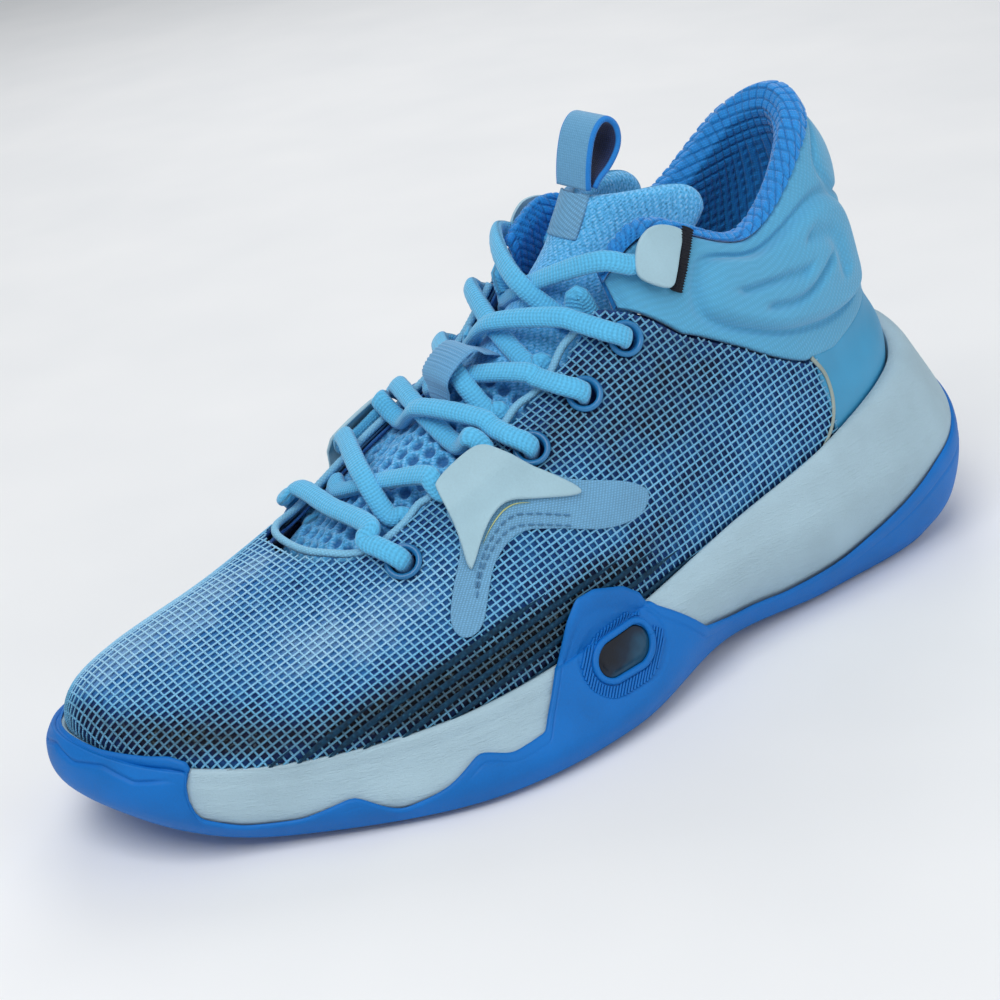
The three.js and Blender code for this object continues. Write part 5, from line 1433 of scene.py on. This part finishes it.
def half_lace(start):
    places, side = [], start
    for row in range(1, 7):
        if row == 2:
            for s, level in WING_TURN:
                places.append(on_skin(side, s, level, LACE_LIFT + (1.5 if level > 4 else 0.1)))
        elif row < 6:
            s, level = EYELET_ROWS[row]
            over, under = OVER_EDGE[row], UNDER_EDGE[row]
            places.append(on_skin(side, over, 4.16, LACE_LIFT + 1.2))
            places.append(on_skin(side, over + 0.04, 4.0, LACE_LIFT + 1.0))
            places += through_hole(side, s, level, LACE_ABOVE, LACE_BELOW, (over, 4.0))
            places.append(on_skin(side, under + 0.04, 3.8, LACE_BELOW - 1.1))
            places.append(on_skin(side, under, 4.24, LACE_BELOW + 3.2))
        else:
            s, level = TAB_HOLE
            places += [on_skin(side, *TAB_APPROACH[0], 3.4), on_skin(side, *TAB_APPROACH[1], 3.2)]
            places += through_hole(side, s, level, 2.7, -COLLAR_FRONT_THICKNESS, TAB_APPROACH[1])[1:4]
            places += [on_skin(side, s, level, -COLLAR_FRONT_THICKNESS - 1.5)]
            places += [on_skin(side, *tail) for tail in LACE_TAIL]
        if row < 6:
            t0 = table(TONGUE_BY_THROAT, UNDER_EDGE[row])
            t1 = table(TONGUE_BY_THROAT, OVER_EDGE[row + 1] if row < 5 else TAB_APPROACH[0][0])
            w = -1 if side == "lateral" else 1
            places.append(on_tongue(t0 + 0.15 * (t1 - t0), 0.55 * w, LACE_LIFT + 1.0))
            places.append(on_tongue((t0 + t1) / 2, 0, CENTRE_LIFT[start]))
        side = "medial" if side == "lateral" else "lateral"
    return places


def centripetal(points, count):
    """Catmull-Rom through points with the square root of their spacing as its parameter."""
    p = np.concatenate([[2 * points[0] - points[1]], points, [2 * points[-1] - points[-2]]])
    out, share = [], []
    for i in range(len(points) - 1):
        q = p[i:i + 4]
        d = np.maximum(np.linalg.norm(np.diff(q, axis=0), axis=1) ** 0.5, 1e-4)
        t0, t1 = 0.0, d[0]
        t2, t3 = t1 + d[1], t1 + d[1] + d[2]
        t = np.linspace(t1, t2, count, endpoint=False)[:, None]
        a1 = (t1 - t) / (t1 - t0) * q[0] + (t - t0) / (t1 - t0) * q[1]
        a2 = (t2 - t) / (t2 - t1) * q[1] + (t - t1) / (t2 - t1) * q[2]
        a3 = (t3 - t) / (t3 - t2) * q[2] + (t - t2) / (t3 - t2) * q[3]
        b1 = (t2 - t) / (t2 - t0) * a1 + (t - t0) / (t2 - t0) * a2
        b2 = (t3 - t) / (t3 - t1) * a2 + (t - t1) / (t3 - t1) * a3
        out.append((t2 - t) / (t2 - t1) * b1 + (t - t1) / (t2 - t1) * b2)
        share.append(i + np.linspace(0, 1, count, endpoint=False))
    return np.concatenate([*out, points[-1:]]), np.concatenate([*share, [len(points) - 1]])


def build_lace():
    edges = [on_skin(side, OVER_EDGE[1], 4.16, LACE_LIFT + 1.2) for side in SIDES]
    up = unit(edges[0][1] + edges[1][1])
    bar = [((edges[0][0] + edges[1][0]) / 2 + up * 0.6, up)]
    places = half_lace("medial")[::-1] + bar + half_lace("lateral")
    points = np.array([p for p, _ in places])
    ups = np.array([u for _, u in places])
    for k in range(1, len(ups)):
        if ups[k] @ ups[k - 1] < 0:
            ups[k] = -ups[k]
    line, share = centripetal(points, 14)
    facing = np.stack([np.interp(share, np.arange(len(ups)), ups[:, k]) for k in range(3)], -1)
    line, facing = resample(line, facing, 0.8)
    ahead = unit(np.gradient(line, axis=0))
    facing = facing - (facing * ahead).sum(-1, keepdims=True) * ahead
    for k in range(1, len(facing)):
        if facing[k] @ facing[k - 1] < 0:
            facing[k] = -facing[k]
    kernel = np.hanning(9) / np.hanning(9).sum()
    facing = [np.convolve(np.pad(facing[:, k], 4, mode="edge"), kernel, "valid") for k in range(3)]
    facing = unit(np.stack(facing, -1))
    soup = Soup()
    cord(soup, line, facing, LACE_WIDTH / 2 + 0.1, LACE_THICKNESS / 2 + 0.15, 26, power=0.85,
         bump=lambda along, angle: 0.012 * np.sin(along * 2 * np.pi + 2.2 * np.abs(np.sin(angle))))
    piece("lace_cord", soup, lace_braid, replaces=["lace"])
    for side, k in (("medial", 0), ("lateral", -1)):
        end, before = (points[0], points[1]) if k == 0 else (points[-1], points[-2])
        d = unit(end - before)
        run = end + d * np.linspace(0.3, 20.35, 30)[:, None]
        t = np.linspace(0, 1, 30)
        wide = 1.8 * np.sqrt(np.clip(1 - np.clip((t - 0.92) / 0.08, 0, 0.95) ** 2, 0.1, 1))
        soup = Soup()
        cord(soup, run, np.repeat(ups[k][None], 30, 0), wide, wide, 20)
        piece(f"aglet_tip_{side}", soup, aglet_film, replaces=[f"aglet_{side}"])


# The strap's path over the laces: [tongue station, height over the tongue].
KEEPER_PATH = [[2.7, 0.4], [2.8, 5.2], [2.95, 10.4], [3.11, 10.9], [3.27, 10.4], [3.42, 5.2], [3.54, 0.4]]
KEEPER_HALF_WIDTH = 0.17  # in the tongue's crosswise coordinate


def build_keeper():
    key = np.array(KEEPER_PATH)
    line, _ = centripetal(np.concatenate([key, key[:, :1] * 0], 1), 16)
    t, lift = line[:, 0], line[:, 1]
    w = np.linspace(-KEEPER_HALF_WIDTH, KEEPER_HALF_WIDTH, 26)
    tt, ww = np.meshgrid(t, w, indexing="ij")
    rim = round_rim((KEEPER_HALF_WIDTH - np.abs(ww)) / 0.02)
    base = tongue_point(tt, ww, -np.repeat(lift[:, None], 26, 1))
    n = tongue_normal(tt, ww)
    u, v = arc_grid(base)
    rib = 0.16 * np.sin(u * 2 * np.pi / 1.3)
    soup = Soup()
    outer = base + n * (0.25 + 0.55 * rim + rib)[..., None]
    shell(soup, outer, base - n * 0.1, cloth=sheet_cloth(u, v))
    piece("lace_keeper_strap", soup, webbing_cloth, replaces=["lace_keeper"])


def build_sockliner():
    s = np.linspace(0, TURN, 220, endpoint=False)
    rim = upper.point(s, -1.0)
    n = upper.normal(s, -1.0) * [1, 1, 0]
    n = unit(n)
    rings = []
    for inset, lift in ((5.2, 0.35), (5.0, 2.0), (5.3, 3.6), (6.2, 4.0), (7.6, 3.9)):
        rings.append(rim - n * inset + [0, 0, lift])
    middle = rings[-1].copy()
    middle[:, 0] *= 0.86
    middle[:, 1] = np.interp(middle[:, 0] + ORIGIN[0], CENTRE_LINE[:, 0], CENTRE_LINE[:, 1]) - ORIGIN[1]
    top = [rings[-1] * (1 - k) + middle * k for k in np.linspace(0.1, 1, 24)]
    bottom_middle = middle - [0, 0, 3.5]
    bottom = [bottom_middle * (1 - k) + rings[0] * k for k in np.linspace(0, 0.9, 6)]
    grid = np.stack([*rings, *top, *bottom], 1)
    grid = np.concatenate([grid, grid[:, :1]], 1)
    soup = Soup()
    soup.add(grid, [quads(len(s), grid.shape[1], True)], grid)
    made = piece("sockliner_sheet", soup, sock_cloth, body="sockliner", replaces=["sockliner"])
    weld(made)


build_lace()
build_keeper()
build_sockliner()

# ---------- inner parts that keep their CAD shape ----------
INNER = {"shank_plate": plate, "strobel_board": board, "toe_puff": board, "heel_counter": board,
         "ankle_foam": board, "eyestay_lateral": fused_cloth, "eyestay_medial": fused_cloth}
for name, material in INNER.items():
    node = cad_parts[name]
    node.data.materials.clear()
    node.data.materials.append(material)


# ---------- floor, light, camera ----------
LIGHTS = (("key", (-0.55, -0.35, 1.15), 0.8, 9), ("fill", (0.55, -1.0, 0.6), 1.0, 3.5),
          ("back", (0.5, 0.9, 0.9), 0.8, 4.5))
SHOE_MIDDLE = Vector((0, 0, 0.06))


def build_stage():
    floor = bpy.data.meshes.new("floor")
    floor.from_pydata([(-6, -6, 0), (6, -6, 0), (6, 6, 0), (-6, 6, 0)], [], [(0, 1, 2, 3)])
    look = Look("floor_paper", 0.9)
    cloud = look.noise(look.object_mm(), 0.01, 2.0)
    look.colour(look.ramp(cloud, [(0.3, (0.86, 0.87, 0.88)), (0.7, (0.9, 0.905, 0.91))]))
    floor.materials.append(look.material)
    made = bpy.data.objects.new("floor", floor)
    made.location.z = -0.0002
    bpy.context.scene.collection.objects.link(made)
    world = bpy.data.worlds.new("studio")
    world.use_nodes = True
    world.node_tree.nodes["Background"].inputs["Color"].default_value = (0.93, 0.96, 1.0, 1)
    world.node_tree.nodes["Background"].inputs["Strength"].default_value = 0.4
    bpy.context.scene.world = world
    for name, at, size, watts in LIGHTS:
        light = bpy.data.lights.new(name, "AREA")
        light.size, light.energy = size, watts
        lamp = bpy.data.objects.new(name, light)
        lamp.location = at
        lamp.rotation_mode = "QUATERNION"
        lamp.rotation_quaternion = (SHOE_MIDDLE - Vector(at)).to_track_quat("-Z", "Y")
        bpy.context.scene.collection.objects.link(lamp)


CAMERA_ANGLES = (-31.08, 23.47, 9.33)  # azimuth, elevation and roll
CAMERA_DISTANCE = 0.6212


def build_camera():
    azimuth, elevation, roll = (math.radians(v) for v in CAMERA_ANGLES)
    level = math.cos(elevation)
    back = Vector((math.sin(azimuth) * level, -math.cos(azimuth) * level, math.sin(elevation)))
    right = Vector((math.cos(azimuth), math.sin(azimuth), 0))
    up = back.cross(right)
    c, s = math.cos(roll), math.sin(roll)
    camera = bpy.data.objects.new("camera", bpy.data.cameras.new("camera"))
    target = Vector((-ORIGIN[0], -ORIGIN[1], 60.0)) * MM
    axes = Matrix((c * right - s * up, s * right + c * up, back)).transposed().to_4x4()
    camera.matrix_world = Matrix.Translation(target + back * CAMERA_DISTANCE) @ axes
    camera.data.lens, camera.data.sensor_width = 75.4, 36.0
    camera.data.shift_x, camera.data.shift_y = -0.00939, -0.02011
    camera.data.clip_start, camera.data.clip_end = 0.01, 50
    bpy.context.scene.collection.objects.link(camera)
    bpy.context.scene.camera = camera


build_stage()
build_camera()
bpy.context.scene.view_settings.view_transform = "Standard"
